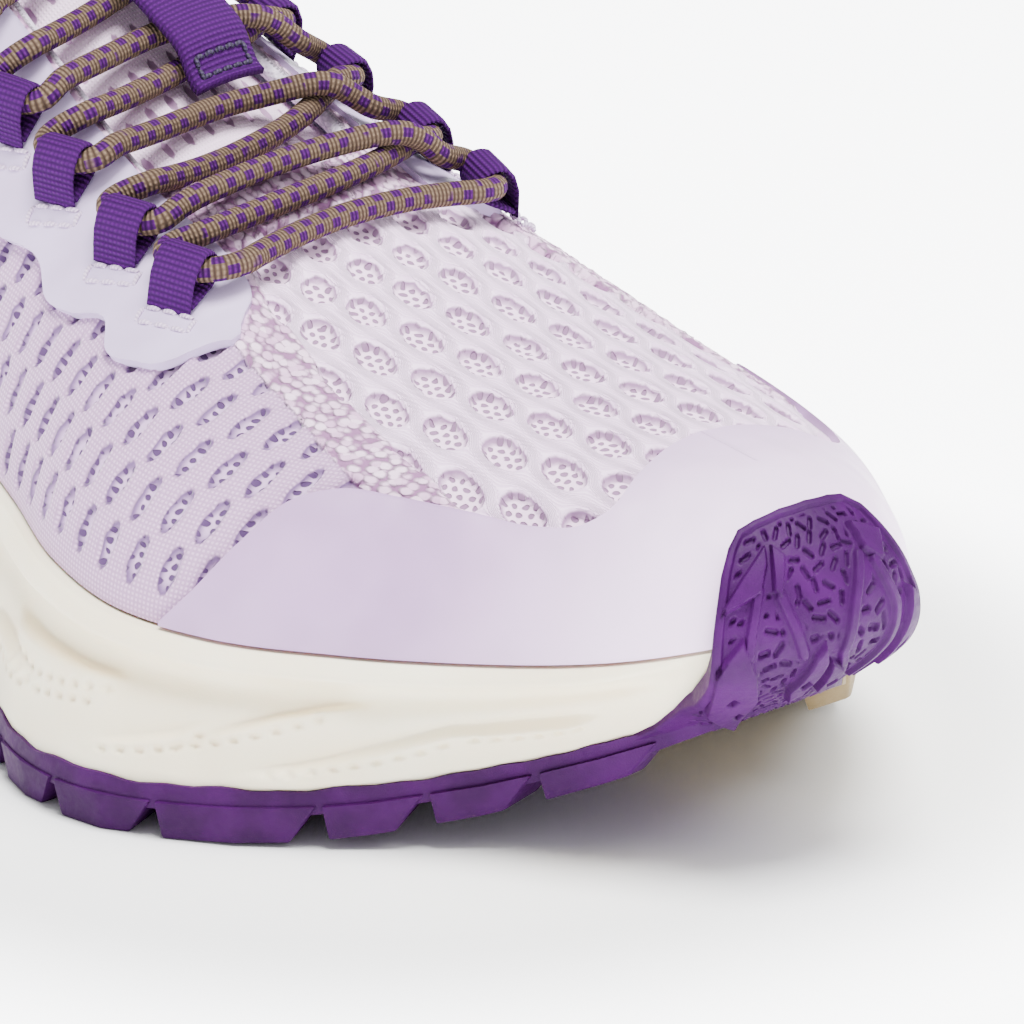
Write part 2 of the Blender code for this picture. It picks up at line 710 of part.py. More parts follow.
def build_midsole():
    def place(angle):
        rows = [under_ring(angle, share, 0.0, 0.0) for share in UNDER_SHARES[:0:-1]]
        rows += [midsole_side(angle, h) for h in SIDE_ROWS]
        rim = inset(angle, RIM_WIDTH)
        rim[..., 2] -= GAP
        rows.append(rim)
        rows += [bed_ring(angle, RIM_WIDTH + 0.8, share, 0.0) for share in (0.0, 1.0)]
        return np.stack(rows, 1)

    points, faces = surface(STATIONS, place, len(SIDE_ROWS) + len(UNDER_SHARES) + 2)
    mesh = mesh_of("midsole", points, faces)
    turn_out(mesh)
    return new_object("midsole", mesh, (0.86, 0.83, 0.75), 0.55)


def build_insole():
    def place(angle):
        distance = RIM_WIDTH + 0.8 + GAP
        rows = [bed_ring(angle, distance, share, GAP + INSOLE_THICK) for share in (1.0, 0.0)]
        rows += [bed_ring(angle, distance, share, GAP) for share in (0.0, 1.0)]
        return np.stack(rows, 1)

    points, faces = surface(STATIONS, place, 4)
    mesh = mesh_of("insole", points, faces)
    turn_out(mesh)
    return new_object("insole", mesh, (0.55, 0.50, 0.58), 0.9)


def prism(plan, draft):
    """Lug: a prism that starts inside the rubber sheet and narrows to its face."""
    plan = np.asarray(plan, float)
    top = under(plan[:, 0], "midsole_z") - GAP - 0.5 * OUTSOLE_THICK
    face = plan + np.asarray(draft, float)
    low = under(face[:, 0], "lug_z")
    count = len(plan)
    points = np.concatenate([np.column_stack([plan, top]), np.column_stack([face, low])])
    faces = [tuple(range(count)), tuple(reversed(range(count, 2 * count)))]
    faces += [(k, k + count, (k + 1) % count + count, (k + 1) % count) for k in range(count)]
    return points, faces


def edge_lug(row, medial):
    """Lug at the edge of the sole: upright at the heel end, sloping at the toe end."""
    start, end, depth = row
    angles = [angle_at(x, medial) for x in (start, (start + end) / 2, end)]
    outer = [under_ring(angle, 0.0, LUG_STAND, 0.0)[:2] for angle in angles]
    out = [feather_out(angle) for angle in angles]
    inner = [o - n * depth for o, n in zip(outer, out)]
    plan = np.array(outer + inner[::-1])
    along = (outer[2] - outer[0]) / np.linalg.norm(outer[2] - outer[0])
    into = -out[1]
    heel, toe, side = along * 0.7, -along * 3.4, into * 0.6
    draft = np.array([heel + side, side, toe + side, toe - side, -side, heel - side])
    return prism(plan, draft)


def chevron_arms(row, sides, clear):
    """The arms of a chevron lug, one for each side asked for."""
    tip, half, sweep = row
    solids = []
    for side in sides:
        near, far = side * clear, side * half
        centre = float(lookup(CREST_COLUMNS, CREST, "y", tip))
        back = tip - CHEVRON_LENGTH
        plan = np.array([(tip, near), (back, near), (back - sweep, far), (tip - sweep, far)])
        plan[:, 1] += centre
        draft = np.array([(-0.8, 0.0), (0.8, 0.0), (0.8, 0.0), (-0.8, 0.0)])
        draft[:, 1] = (0.6 * side, 0.6 * side, -0.6 * side, -0.6 * side)
        solids.append(prism(plan, draft))
    return solids


def joined(solids):
    """One list of points and faces of several solids."""
    points, faces, first = [], [], 0
    for where, sides in solids:
        points.append(where)
        faces += [tuple(v + first for v in f) for f in sides]
        first += len(where)
    return np.concatenate(points), faces


def build_outsole():
    shares = UNDER_SHARES[::-1]
    stations = STATIONS

    def place(angle):
        return np.stack([under_ring(angle, share, 0.5, -GAP) for share in shares], 1)

    points, faces = surface(stations, place, len(shares), len(shares))
    half = len(stations) * len(shares)
    station = np.tile(np.repeat(np.array(stations, float), len(shares)), 2)

    def purple(face):
        if face[0] < half:
            return True
        x = [station[v] for v in face]
        return max(x) <= INSERT_BACK or min(x) >= INSERT_FRONT

    kept = [f for f in faces if purple(f)]
    sheet = shell("outsole", points, kept, 0.0, OUTSOLE_THICK)
    lateral = [edge_lug(row, False) for row in LATERAL_LUGS]
    purple_rows = [row for row in MEDIAL_LUGS if not INSERT_BACK - 4 < row[0] < INSERT_FRONT]
    medial = [edge_lug(row, True) for row in purple_rows]
    arms = []
    for row in CHEVRONS:
        arms += chevron_arms(row, (-1, 1) if row[0] < INSERT_BACK else (-1,), 1.2)
    lugs = mesh_of("lugs", *joined(lateral + medial + arms))
    turn_out(lugs)
    body = union(sheet, lugs)
    body = union(body, build_bumper())
    return new_object("outsole", body, (0.16, 0.045, 0.25), 0.6)


def build_bumper():
    """Rubber that turns up over the midsole's toe and the film on the upper."""
    turns = np.array(BUMPER_TURNS)
    angle = math.pi + np.radians(turns)
    rise = lookup(BUMPER_COLUMNS, BUMPER, "rise", turns)
    rows = [under_ring(angle, share, 0.0, -0.9) for share in (0.6, 0.25)]
    rows += [midsole_side(angle, h) for h in SIDE_ROWS[1::2]]
    over = last_point(angle[:, None], rise[:, None] * np.linspace(0.14, 1, 6))
    grid = np.concatenate([np.stack(rows, 1), over], 1)

    def low(base):
        over = np.clip((base[:, 2] - 17.0) / 12.0, 0, 1)
        return BUMPER_GAP + (TOE_GAP + FILM) * over * over * (3 - 2 * over)

    faces = grid_faces(*grid.shape[:2])
    points = grid.reshape(-1, 3)
    return shell("bumper", points, faces, low, lambda base: low(base) + BUMPER_THICK)


def build_insert():
    shares = (0.97,) + UNDER_SHARES[-2::-1]
    stations = np.array([x for x in STATIONS if INSERT_BACK <= x <= INSERT_FRONT], float)
    stations[0] += GAP
    stations[-1] -= GAP
    angle = angle_at(stations, True)
    points = np.stack([under_ring(angle, share, 0.5, -GAP) for share in shares], 1).reshape(-1, 3)
    faces = [tuple(reversed(f)) for f in grid_faces(len(stations), len(shares), 0, len(shares))]
    sheet = shell("outsole_insert", points, faces, 0.0, OUTSOLE_THICK)
    taupe_rows = [row for row in MEDIAL_LUGS if INSERT_BACK < row[0] and row[1] < INSERT_FRONT]
    lugs = [edge_lug(row, True) for row in taupe_rows]
    for row in CHEVRONS:
        if row[0] > INSERT_BACK:
            lugs += chevron_arms(row, (1,), 2.6)
    tool = mesh_of("lugs", *joined(lugs))
    turn_out(tool)
    return new_object("outsole_insert", union(sheet, tool), (0.41, 0.34, 0.23), 0.7)


# Lace, loops and keeper

LOOP_LIFT = GAP + FILM + GAP
EYE_HEIGHT = 2 * LOOP_THICK + 2 * LACE_RADIUS + 2 * GAP


def arch(radius):
    """Half turn of a strap round the eye of a loop."""
    turns = np.radians(np.linspace(-90, 90, 5))
    middle = EYE_HEIGHT / 2
    return [(LOOP_EYE + radius * math.cos(t), middle + radius * math.sin(t)) for t in turns]


def loop_frame(x, medial):
    """Place of a loop, with the directions along its eye, in to the throat and out of the upper."""
    side = 1 if medial else -1
    here, along, across, out = throat_frame(x, side * float(eyelet(x, "loop")))
    inward = -side * across
    turn = math.radians(LOOP_TURN)
    axis = along * math.cos(turn) + inward * math.sin(turn)
    return here, axis, inward * math.cos(turn) - along * math.sin(turn), out


def build_loop(name, x, medial):
    """Webbing loop: a flat strap folded round an eye that the lace passes through."""
    here, along, inward, out = loop_frame(x, medial)
    radius = EYE_HEIGHT / 2
    outer = [(-LOOP_BASE, 0.0), (-1.0, 0.0)] + arch(radius)
    outer += [(-0.8, 2 * radius - 0.9), (-LOOP_BASE, 2 * LOOP_THICK)]
    inner = [(-LOOP_BASE + 1.6, LOOP_THICK), (-1.0, LOOP_THICK)] + arch(radius - LOOP_THICK)
    inner += [(-0.8, 2 * radius - 0.9 - LOOP_THICK), (-LOOP_BASE + 1.6, LOOP_THICK + 0.5)]
    count = len(outer)
    points = []
    for end in (-LOOP_WIDTH / 2, LOOP_WIDTH / 2):
        for c, n in outer + inner:
            points.append(here + along * end + inward * c + out * (n + LOOP_LIFT))
    faces = []
    for k in range(count):
        j = (k + 1) % count
        far = 2 * count
        faces.append((k, j, j + far, k + far))
        faces.append((count + j, count + k, count + k + far, count + j + far))
        faces.append((j, k, k + count, j + count))
        faces.append((k + far, j + far, j + count + far, k + count + far))
    mesh = mesh_of(name, points, faces)
    turn_out(mesh)
    return new_object(name, mesh, (0.12, 0.03, 0.27), 0.85)


def tube(path, radius, sides=6):
    """Closed round tube along a path of points."""
    path = np.asarray(path, float)
    tangent = np.gradient(path, axis=0)
    tangent /= np.linalg.norm(tangent, axis=1, keepdims=True)
    points = []
    for place, t in zip(path, tangent):
        first = np.cross(t, (1.0, 0.0, 0.0))
        first /= np.linalg.norm(first)
        second = np.cross(t, first)
        for k in range(sides):
            turn = 2 * math.pi * k / sides
            points.append(place + radius * (first * math.cos(turn) + second * math.sin(turn)))
    count = len(path)
    faces = []
    for i in range(count - 1):
        for k in range(sides):
            a, b = i * sides + k, i * sides + (k + 1) % sides
            faces.append((a, b, b + sides, a + sides))
    faces.append(tuple(range(sides)))
    faces.append(tuple(range((count - 1) * sides, count * sides)))
    mesh = mesh_of("tube", points, faces)
    turn_out(mesh)
    return mesh


LACE_SHORT = LOOP_EYE + EYE_HEIGHT / 2 + 2 * GAP + 1.2  # from a loop's middle to the lace's end
LACE_ON_UPPER = LACE_RADIUS + 0.45
LACE_ON_TONGUE = LACE_RADIUS - UPPER_WALL - TONGUE_GAP + 1.4 * GAP
BAR_X = EYELET_X[0] + 2.0
CROSS_POWER = math.log(0.5) / math.log((1 + LACE_CROSS) / 2)


def lace_path(x_lateral, x_medial, low, lift):
    """Lace from the lateral to the medial loops, resting low and lifted where it crosses over."""
    points = []
    for s in np.linspace(-1, 1, 10):
        x = x_lateral + (x_medial - x_lateral) * ((s + 1) / 2) ** CROSS_POWER
        here, along, across, out = throat_frame(x, s * (float(eyelet(x, "loop")) - LACE_SHORT))
        rest = low + (LOOP_LIFT + EYE_HEIGHT / 2 - low) * abs(s) ** 2.4
        over = max(0.0, 1 - ((s - LACE_CROSS) / (1 - LACE_CROSS)) ** 2)
        points.append(here + out * (rest + lift * over))
    return points


def build_laces():
    bar = tube(lace_path(BAR_X, BAR_X, LACE_ON_UPPER, 0.0), LACE_RADIUS)
    new_object("lace_bar", bar, (0.29, 0.23, 0.11), 0.85)
    for k in range(len(EYELET_X) - 1):
        front = EYELET_X[k] - LOOP_WIDTH / 2
        back = EYELET_X[k + 1] + LOOP_WIDTH / 2
        low = LACE_ON_UPPER if k == 0 else LACE_ON_TONGUE
        under_strand = tube(lace_path(front, back, low, 0.0), LACE_RADIUS)
        over_strand = tube(lace_path(back, front, low, 1.5 * LACE_RADIUS), LACE_RADIUS)
        pair = union(under_strand, over_strand)
        new_object(f"lace_cross_{k + 1}", pair, (0.29, 0.23, 0.11), 0.85)


def build_keeper():
    """Webbing strap on the tongue that the third crossing passes beneath."""
    x = np.linspace(KEEPER[-1][0], KEEPER[0][0], 14)
    lift = lookup(KEEPER_COLUMNS, KEEPER, "lift", x)
    reach = np.linspace(-1, 1, 4) * KEEPER_HALF_WIDTH
    points = []
    for place, up in zip(x, lift):
        for r in reach:
            here, along, across, out = throat_frame(place, r)
            points.append(here + out * up)
    faces = [tuple(reversed(f)) for f in grid_faces(len(x), len(reach))]
    mesh = shell("lace_keeper", points, faces, 0.0, KEEPER_THICK)
    return new_object("lace_keeper", mesh, (0.12, 0.03, 0.27), 0.85)


def main():
    for old in list(bpy.data.objects):
        bpy.data.objects.remove(old)
    build_outsole()
    build_insert()
    build_midsole()
    build_insole()
    build_upper()
    build_toe_overlay()
    build_eyestay("eyestay_lateral", False)
    build_eyestay("eyestay_medial", True)
    build_tongue()
    for k, x in enumerate(EYELET_X):
        build_loop(f"lace_loop_lateral_{k + 1}", x, False)
        build_loop(f"lace_loop_medial_{k + 1}", x, True)
    build_laces()
    build_keeper()


main()
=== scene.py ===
"""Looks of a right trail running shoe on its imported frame.

The frame is the part's: +X to the toe, +Y to the inner (medial) side, +Z up. Sizes and tables are
in millimetres, and repeat the part's own shape functions so that each surface lies where the
part's solid does.
"""

import math

import bmesh
import bpy
import numpy as np
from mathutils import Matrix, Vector


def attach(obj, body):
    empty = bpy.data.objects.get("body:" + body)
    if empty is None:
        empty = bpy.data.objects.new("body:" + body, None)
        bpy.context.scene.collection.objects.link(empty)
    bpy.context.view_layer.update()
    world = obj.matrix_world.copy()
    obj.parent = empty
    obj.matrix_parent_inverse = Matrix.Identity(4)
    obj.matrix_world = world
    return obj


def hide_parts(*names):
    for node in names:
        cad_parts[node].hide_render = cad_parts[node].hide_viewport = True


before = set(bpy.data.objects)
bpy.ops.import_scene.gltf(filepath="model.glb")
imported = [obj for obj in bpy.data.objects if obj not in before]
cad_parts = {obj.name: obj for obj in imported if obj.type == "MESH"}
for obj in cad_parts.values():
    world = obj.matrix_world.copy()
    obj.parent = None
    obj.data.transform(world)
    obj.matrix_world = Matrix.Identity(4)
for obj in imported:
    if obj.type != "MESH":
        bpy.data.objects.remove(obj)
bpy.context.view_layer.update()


# Tables


def curve_through(knots, values, at):
    """Smooth curve through a table: cubic pieces whose slopes come from the rows beside them."""
    knots, values, at = (np.asarray(a, float) for a in (knots, values, at))
    step = np.diff(knots)
    rise = np.diff(values) / step
    slope = np.empty_like(values)
    slope[1:-1] = (rise[:-1] * step[1:] + rise[1:] * step[:-1]) / (step[:-1] + step[1:])
    slope[0], slope[-1] = rise[0], rise[-1]
    at = np.clip(at, knots[0], knots[-1])
    k = np.clip(np.searchsorted(knots, at, side="right") - 1, 0, len(step) - 1)
    t = (at - knots[k]) / step[k]
    h00, h10 = (1 + 2 * t) * (1 - t) ** 2, t * (1 - t) ** 2
    h01, h11 = t * t * (3 - 2 * t), t * t * (t - 1)
    bent = h10 * step[k] * slope[k] + h11 * step[k] * slope[k + 1]
    return h00 * values[k] + h01 * values[k + 1] + bent


class Table(dict):
    """Rows given one by one, kept as named columns."""

    def __init__(self, names, *rows):
        super().__init__(zip(names.split(), np.array(rows).T))
        self.knots = self[names.split()[0]]

    def at(self, name, place):
        """A column at other places along the first one."""
        return curve_through(self.knots, self[name], place)


MM = 0.001
# Driving sizes
HALF_LENGTH = 131.75  # feather line of the upper, from its middle to the toe or heel
FEATHER_MIDDLE = 0.75
MIDDLE = (0.021, 0.044)  # middle of the whole shoe in the frame of the tables
SPINE_STRAIGHT = 70.0  # sections are square to X this far from the middle, and fan out beyond
SPINE_FAN = 0.275  # how strongly the sections fan out at toe and heel
UPPER_WALL = 2.2
COLLAR_WALL = 5.0
COLLAR_PAD_FRONT = -40.0  # the collar is padded behind this
GAP = 0.35  # clearance between pieces that meet
TOE_GAP = 0.5  # under the film round the toe, which curves both ways
BUMPER_GAP = 0.4
BUMPER_BACK = 124.0  # the midsole has no lip in front of this, where the bumper covers it
BUMPER_THICK = 1.8
FILM = 0.75  # thickness of the moulded film overlays
THROAT_FRONT = 38.0
THROAT_ROUND = 12.0
COLLAR_FRONT = -24.0
TONGUE_THICK = 4.0
TONGUE_GAP = 1.0  # under the upper, whose facets cut the curve short
TONGUE_FRONT = 54.0
TONGUE_TOP = -42.0
TONGUE_FREE = -26.0  # the tongue leaves the throat behind this
TONGUE_BOW = 0.009
INSOLE_THICK = 4.0
FOOTBED_DEPTH = 7.0  # from the midsole's rim down to its footbed
RIM_WIDTH = 4.2
OUTSOLE_THICK = 2.2
LACE_RADIUS = 1.6
LACE_CROSS = 0.68  # two strands cross this share of the way from the crest to the medial loops
LOOP_WIDTH = 6.2
LOOP_THICK = 0.8
LOOP_BASE = 3.2  # flat part of a loop behind its eye
LOOP_EYE = 0.9  # from the middle of a loop to the middle of its eye
LOOP_TURN = math.radians(18.0)  # a loop points this far back from square to the throat
KEEPER_HALF_WIDTH = 5.2
KEEPER_THICK = 1.2
# Feather line, where the upper meets the midsole: a row for each section along the shoe
OUTLINE = Table(
    "x lateral_y medial_y lateral_z medial_z",
    (-131.0, 5.0, 5.0, 44.0, 44.0), (-126.0, -12.0, 22.0, 43.8, 43.8),
    (-115.0, -22.6, 32.6, 43.0, 43.0), (-96.0, -29.0, 38.5, 42.0, 42.0),
    (-70.0, -30.0, 37.5, 41.0, 41.0), (-45.0, -30.0, 33.5, 40.0, 40.5),
    (-20.0, -31.0, 31.0, 38.5, 39.5), (0.0, -33.0, 33.5, 36.8, 38.0),
    (20.0, -36.3, 39.0, 34.0, 35.0), (36.0, -41.0, 44.0, 31.2, 31.5),
    (50.0, -45.6, 47.0, 28.4, 28.8), (62.0, -46.0, 48.0, 26.0, 26.8),
    (74.0, -41.5, 47.0, 24.5, 25.5), (88.0, -33.0, 44.6, 24.2, 25.0),
    (103.0, -22.8, 38.8, 24.8, 25.6), (115.0, -16.8, 30.2, 26.9, 27.2),
    (124.5, -10.6, 21.8, 29.6, 29.6), (130.0, -3.0, 14.6, 31.6, 31.6),
    (132.5, 6.0, 6.0, 32.5, 32.5),
)
# Crest of the last: height and side shift of the ridge, and how full the section is
CREST = Table(
    "x z y side_power top_power",
    (-131.0, 190.0, 5.0, 2.0, 1.5), (-96.0, 175.0, 5.0, 2.0, 1.5), (-60.0, 134.0, 3.0, 2.0, 1.5),
    (-40.0, 117.0, 2.0, 1.9, 1.55), (-25.0, 103.5, 1.5, 1.85, 1.6), (-10.0, 92.5, 2.0, 1.8, 1.6),
    (5.0, 82.5, 3.5, 1.8, 1.6), (20.0, 73.5, 5.0, 1.85, 1.65), (36.0, 65.3, 6.0, 1.95, 1.75),
    (50.0, 59.0, 6.5, 2.1, 1.85), (65.0, 53.4, 6.8, 2.2, 1.9), (80.0, 49.4, 7.0, 2.25, 2.0),
    (95.0, 47.0, 7.0, 2.3, 2.0), (110.0, 45.4, 6.5, 2.3, 2.0), (132.5, 43.0, 6.0, 2.3, 2.0),
)
# Lace loops, front to back: how far out they and the throat's edge lie from the throat's middle,
# and how far that middle is shifted from the crest
EYELETS = Table(
    "x loop throat shift",
    (46.4, 23.3, 17.1, -4.7), (35.1, 22.3, 16.1, -4.5), (21.4, 20.6, 14.4, -3.8),
    (9.6, 18.9, 12.7, -3.2), (-4.2, 17.8, 11.5, -2.2), (-17.6, 17.0, 10.6, -1.0),
)
EYELET_X = EYELETS["x"]
# Collar height behind the throat
COLLAR = Table(
    "x z",
    (-131.0, 97.5), (-118.0, 94.0), (-100.0, 84.0), (-80.0, 75.5), (-60.0, 74.0), (-42.0, 79.5),
    (-24.0, 88.0),
)
# Back of the heel: how far the wall stands out at a height above the feather line
HEEL = Table("height out", (0.0, 0.0), (12.0, 2.2), (26.0, 1.2), (40.0, -3.2), (52.0, -3.8))
# Lower edge of the midsole: how far out it stands from the feather line
FLARE = Table(
    "x lateral medial",
    (-131.0, 4.0, 4.0), (-96.0, 5.0, 4.5), (-45.0, 4.0, 3.0), (0.0, 4.0, 3.0), (38.0, 4.3, 3.6),
    (58.0, 5.5, 3.9), (70.0, 4.2, 3.6), (84.0, 1.8, 2.0), (95.0, -1.0, -0.5), (105.0, -3.5, -3.0),
    (115.0, -6.0, -5.0), (125.0, -8.0, -7.5), (132.5, -9.0, -9.0),
)
TONGUE = Table(
    "x half_width",
    (-42.0, 20.0), (-39.0, 23.0), (-35.0, 22.0), (-26.0, 15.5), (8.0, 18.5), (40.0, 21.5),
    (54.0, 18.0),
)
# Top edge of the film round the toe, as the rise of the last at a place on the feather line
TOE_FILM = Table(
    "x rise",
    (68.0, 0.0), (72.3, 12.9), (74.9, 24.1), (78.1, 37.6), (81.2, 41.5), (87.7, 43.0),
    (95.6, 43.0), (103.8, 42.1), (108.5, 44.5), (110.8, 50.0), (111.8, 68.0), (112.8, 84.0),
    (114.0, 90.0),
)
# Film along the throat: reach from the throat's middle to its inner and outer edge
EYESTAY = Table(
    "x inner outer",
    (-22.0, 10.9, 20.5), (-8.0, 12.4, 23.1), (6.0, 13.3, 26.0), (15.7, 14.9, 27.8),
    (25.8, 15.8, 28.8), (29.4, 16.2, 31.0), (35.0, 16.4, 31.5), (40.7, 16.6, 30.9),
    (44.3, 16.8, 33.7), (48.9, 17.5, 33.5), (52.5, 19.1, 31.9), (55.6, 22.3, 26.8),
)
MEDIAL_EYESTAY = 0.62  # the medial film is this share as wide, since that side is steeper
# Lugs along the edge of the sole: start and end along the feather line, and depth
LATERAL_LUGS = (
    (-124.0, -112.0, 13.0), (-108.0, -95.0, 14.0), (-91.0, -78.0, 14.0), (-74.0, -62.0, 14.0),
    (-57.0, -45.0, 11.0), (-40.0, -28.0, 11.0), (-23.0, -11.0, 12.0), (-6.0, 5.0, 13.0),
    (8.5, 20.3, 14.0), (21.0, 32.8, 15.0), (33.5, 45.6, 16.0), (46.2, 57.4, 16.0),
    (57.9, 69.1, 16.0), (69.5, 85.7, 15.0), (86.2, 95.8, 13.0), (96.3, 106.0, 12.0),
    (106.6, 119.0, 8.0),
)
MEDIAL_LUGS = (
    (-124.0, -112.0, 13.0), (-108.0, -95.0, 14.0), (-91.0, -78.0, 14.0), (-74.0, -62.0, 13.0),
    (-57.0, -45.0, 10.0), (-24.0, -12.0, 11.0), (-6.0, 6.0, 13.0), (10.0, 22.0, 14.0),
    (26.0, 38.0, 15.0), (42.0, 54.0, 15.0), (58.0, 70.0, 15.0), (74.0, 86.0, 14.0),
    (90.0, 101.0, 12.0), (114.0, 121.0, 6.0),
)
# Chevron lugs down the middle: place of the tip, half width, and how far the arms sweep back
CHEVRONS = (
    (-98.0, 12.0, -7.0), (-82.0, 12.0, -7.0), (-66.0, 11.0, -7.0), (8.0, 15.0, 8.0),
    (25.0, 17.0, 8.0), (42.0, 19.0, 8.0), (59.0, 19.0, 8.0), (76.0, 17.0, 8.0), (92.0, 13.0, 7.0),
)
CHEVRON_LENGTH = 8.0
LUG_STAND = 1.1  # edge lugs stand out this far from the midsole
INSERT_BACK = -32.0  # the taupe rubber starts and ends at these stations
INSERT_FRONT = 123.0
# Underside of the midsole and the faces of the lugs along the shoe
UNDER = Table(
    "x midsole_z lug_z",
    (-135.0, 13.5, 8.5), (-126.0, 9.6, 3.6), (-116.0, 7.2, 0.6), (-108.0, 6.5, 0.0),
    (-62.0, 6.5, 0.0), (-45.0, 8.0, 1.2), (-25.0, 8.6, 1.8), (-8.0, 7.0, 0.6), (2.0, 6.3, 0.0),
    (74.0, 6.3, 0.0), (85.0, 6.8, 0.7), (92.0, 7.9, 2.2), (100.0, 10.0, 4.6), (108.0, 13.0, 8.0),
    (116.0, 16.8, 12.2), (127.0, 23.5, 19.5),
)


# Shape of the shoe


def unit(vectors):
    return vectors / np.linalg.norm(vectors, axis=-1, keepdims=True)


def run_along(points):
    """Length along a line of points at each of them."""
    steps = np.linalg.norm(np.diff(points, axis=0), axis=1)
    return np.concatenate([[0.0], np.cumsum(steps)])


def soft_step(value, low, high):
    """0 below low and 1 above high, with a smooth rise between them."""
    t = np.clip((np.asarray(value, float) - low) / (high - low), 0, 1)
    return t * t * (3 - 2 * t)


def arrays(*values):
    """Values as arrays of one shape."""
    return np.broadcast_arrays(*(np.asarray(v, float) for v in values))


def closed_column(lateral, medial):
    """Knots and values of a closed curve round the shoe: heel, lateral side, toe, medial side.
    One turn is repeated at each end, so that the curve closes smoothly."""
    angle = np.arccos((FEATHER_MIDDLE - OUTLINE["x"]) / HALF_LENGTH)
    knots = np.concatenate([angle, (2 * math.pi - angle[::-1])[1:-1]])
    values = np.concatenate([OUTLINE[lateral], OUTLINE[medial][::-1][1:-1]])
    turns = (-2 * math.pi, 0, 2 * math.pi)
    return np.concatenate([knots + t for t in turns]), np.tile(values, len(turns))


OUTLINE_Y = closed_column("lateral_y", "medial_y")
OUTLINE_Z = closed_column("lateral_z", "medial_z")


def feather(angle):
    """Points of the feather line. Angle 0 is the back of the heel, pi the toe, and the lateral
    side lies between them."""
    angle = np.asarray(angle, float)
    x = FEATHER_MIDDLE - HALF_LENGTH * np.cos(angle)
    return np.stack([x, curve_through(*OUTLINE_Y, angle), curve_through(*OUTLINE_Z, angle)], -1)


def feather_out(angle):
    """Level direction out of the shoe at the feather line."""
    small = 0.01
    along = feather(np.asarray(angle) + small) - feather(np.asarray(angle) - small)
    return unit(np.stack([along[..., 1], -along[..., 0]], -1))


def spine(x):
    """Where the section that starts at x on the feather line meets the shoe's centre line."""
    x = np.asarray(x, float)
    off = x - FEATHER_MIDDLE
    beyond = np.clip(np.abs(off) - SPINE_STRAIGHT, 0, None)
    middle = x - np.sign(off) * SPINE_FAN * beyond**2 / (HALF_LENGTH - SPINE_STRAIGHT)
    return np.stack([middle, CREST.at("y", middle)], -1)


def last_point(angle, rise):
    """Outer face of the upper. Rise is 0 at the feather line and 90 degrees at the crest."""
    angle, rise = arrays(angle, rise)
    foot = feather(angle)
    centre = spine(foot[..., 0])
    side = CREST.at("side_power", centre[..., 0])
    top = CREST.at("top_power", centre[..., 0])
    reach = np.clip(np.cos(np.radians(rise)), 0, 1) ** (2 / side)
    lift = np.clip(np.sin(np.radians(rise)), 0, 1) ** (2 / top)
    plan = centre + (foot[..., :2] - centre) * reach[..., None]
    crest = CREST.at("z", plan[..., 0])
    height = (crest - foot[..., 2]) * lift
    behind = FEATHER_MIDDLE - foot[..., 0] - SPINE_STRAIGHT
    heel = np.clip(behind / (HALF_LENGTH - SPINE_STRAIGHT), 0, 1) ** 1.5
    out = HEEL.at("out", height) * heel
    plan = plan + feather_out(angle) * out[..., None]
    return np.concatenate([plan, (foot[..., 2] + height)[..., None]], -1)


def eyelet(x, name):
    """A column of the eyelet table at a place along the shoe."""
    return np.interp(x, EYELET_X[::-1], EYELETS[name][::-1])


def throat_half_width(x):
    """Half the width of the throat, with a round end at the vamp."""
    end = np.clip((THROAT_FRONT - np.asarray(x, float)) / THROAT_ROUND, 0, 1)
    return eyelet(x, "throat") * np.sqrt(1 - (1 - end) ** 2)


def top_edge(angle):
    """Rise, in degrees, of the upper's top edge: crest, then throat, then collar."""
    angle = np.asarray(angle, float)
    foot = feather(angle)
    centre = spine(foot[..., 0])
    x = centre[..., 0]
    side = CREST.at("side_power", x)
    top = CREST.at("top_power", x)
    width = np.linalg.norm(foot[..., :2] - centre, axis=-1)
    lean = np.sign(np.sin(angle)) * eyelet(x, "shift") / eyelet(x, "throat")
    reach = throat_half_width(x) * (1 - lean)
    throat = np.degrees(np.arccos(np.clip(reach / width, 0, 1) ** (side / 2)))
    tall = CREST.at("z", x) - foot[..., 2]
    collar = COLLAR.at("z", foot[..., 0]) - foot[..., 2]
    wall = np.degrees(np.arcsin(np.clip(collar / tall, 0, 1) ** (top / 2)))
    blend = soft_step(COLLAR_FRONT + 6 - x, 0.0, 18.0)
    return throat * (1 - blend) + wall * blend


def angle_at(x, medial=False):
    """Angle round the feather line of a place along the shoe."""
    angle = np.arccos(np.clip((FEATHER_MIDDLE - np.asarray(x, float)) / HALF_LENGTH, -1, 1))
    return 2 * math.pi - angle if medial else angle


def under(x, name):
    """Heights of the underside, with straight lines between the rows so that flats stay flat."""
    return np.interp(x, UNDER["x"], UNDER[name])


def midsole_side(angle, height):
    """Outer side of the midsole. Height goes from 0 at its lower edge to 1 at the feather line."""
    angle, height = arrays(angle, height)
    foot = feather(angle)
    lateral_out = FLARE.at("lateral", foot[..., 0])
    medial_out = FLARE.at("medial", foot[..., 0])
    side = 0.5 - 0.5 * np.sin(angle)
    low_out = lateral_out * (1 - side) + medial_out * side
    normal = feather_out(angle)
    low = foot[..., :2] + normal * low_out[..., None]
    low_z = under(low[..., 0], "midsole_z")
    z = low_z + (foot[..., 2] - GAP - low_z) * height
    plain = np.clip((BUMPER_BACK - foot[..., 0]) / 8.0, 0, 1)
    lip = 1.3 * plain * np.exp(-(((height - 0.9) / 0.09) ** 2))
    waist = -1.6 * plain * np.exp(-(((height - 0.7) / 0.12) ** 2))
    out = low_out * (1 - height) ** 1.3 + 0.9 * height + lip + waist
    plan = foot[..., :2] + normal * out[..., None]
    return np.concatenate([plan, z[..., None]], -1)


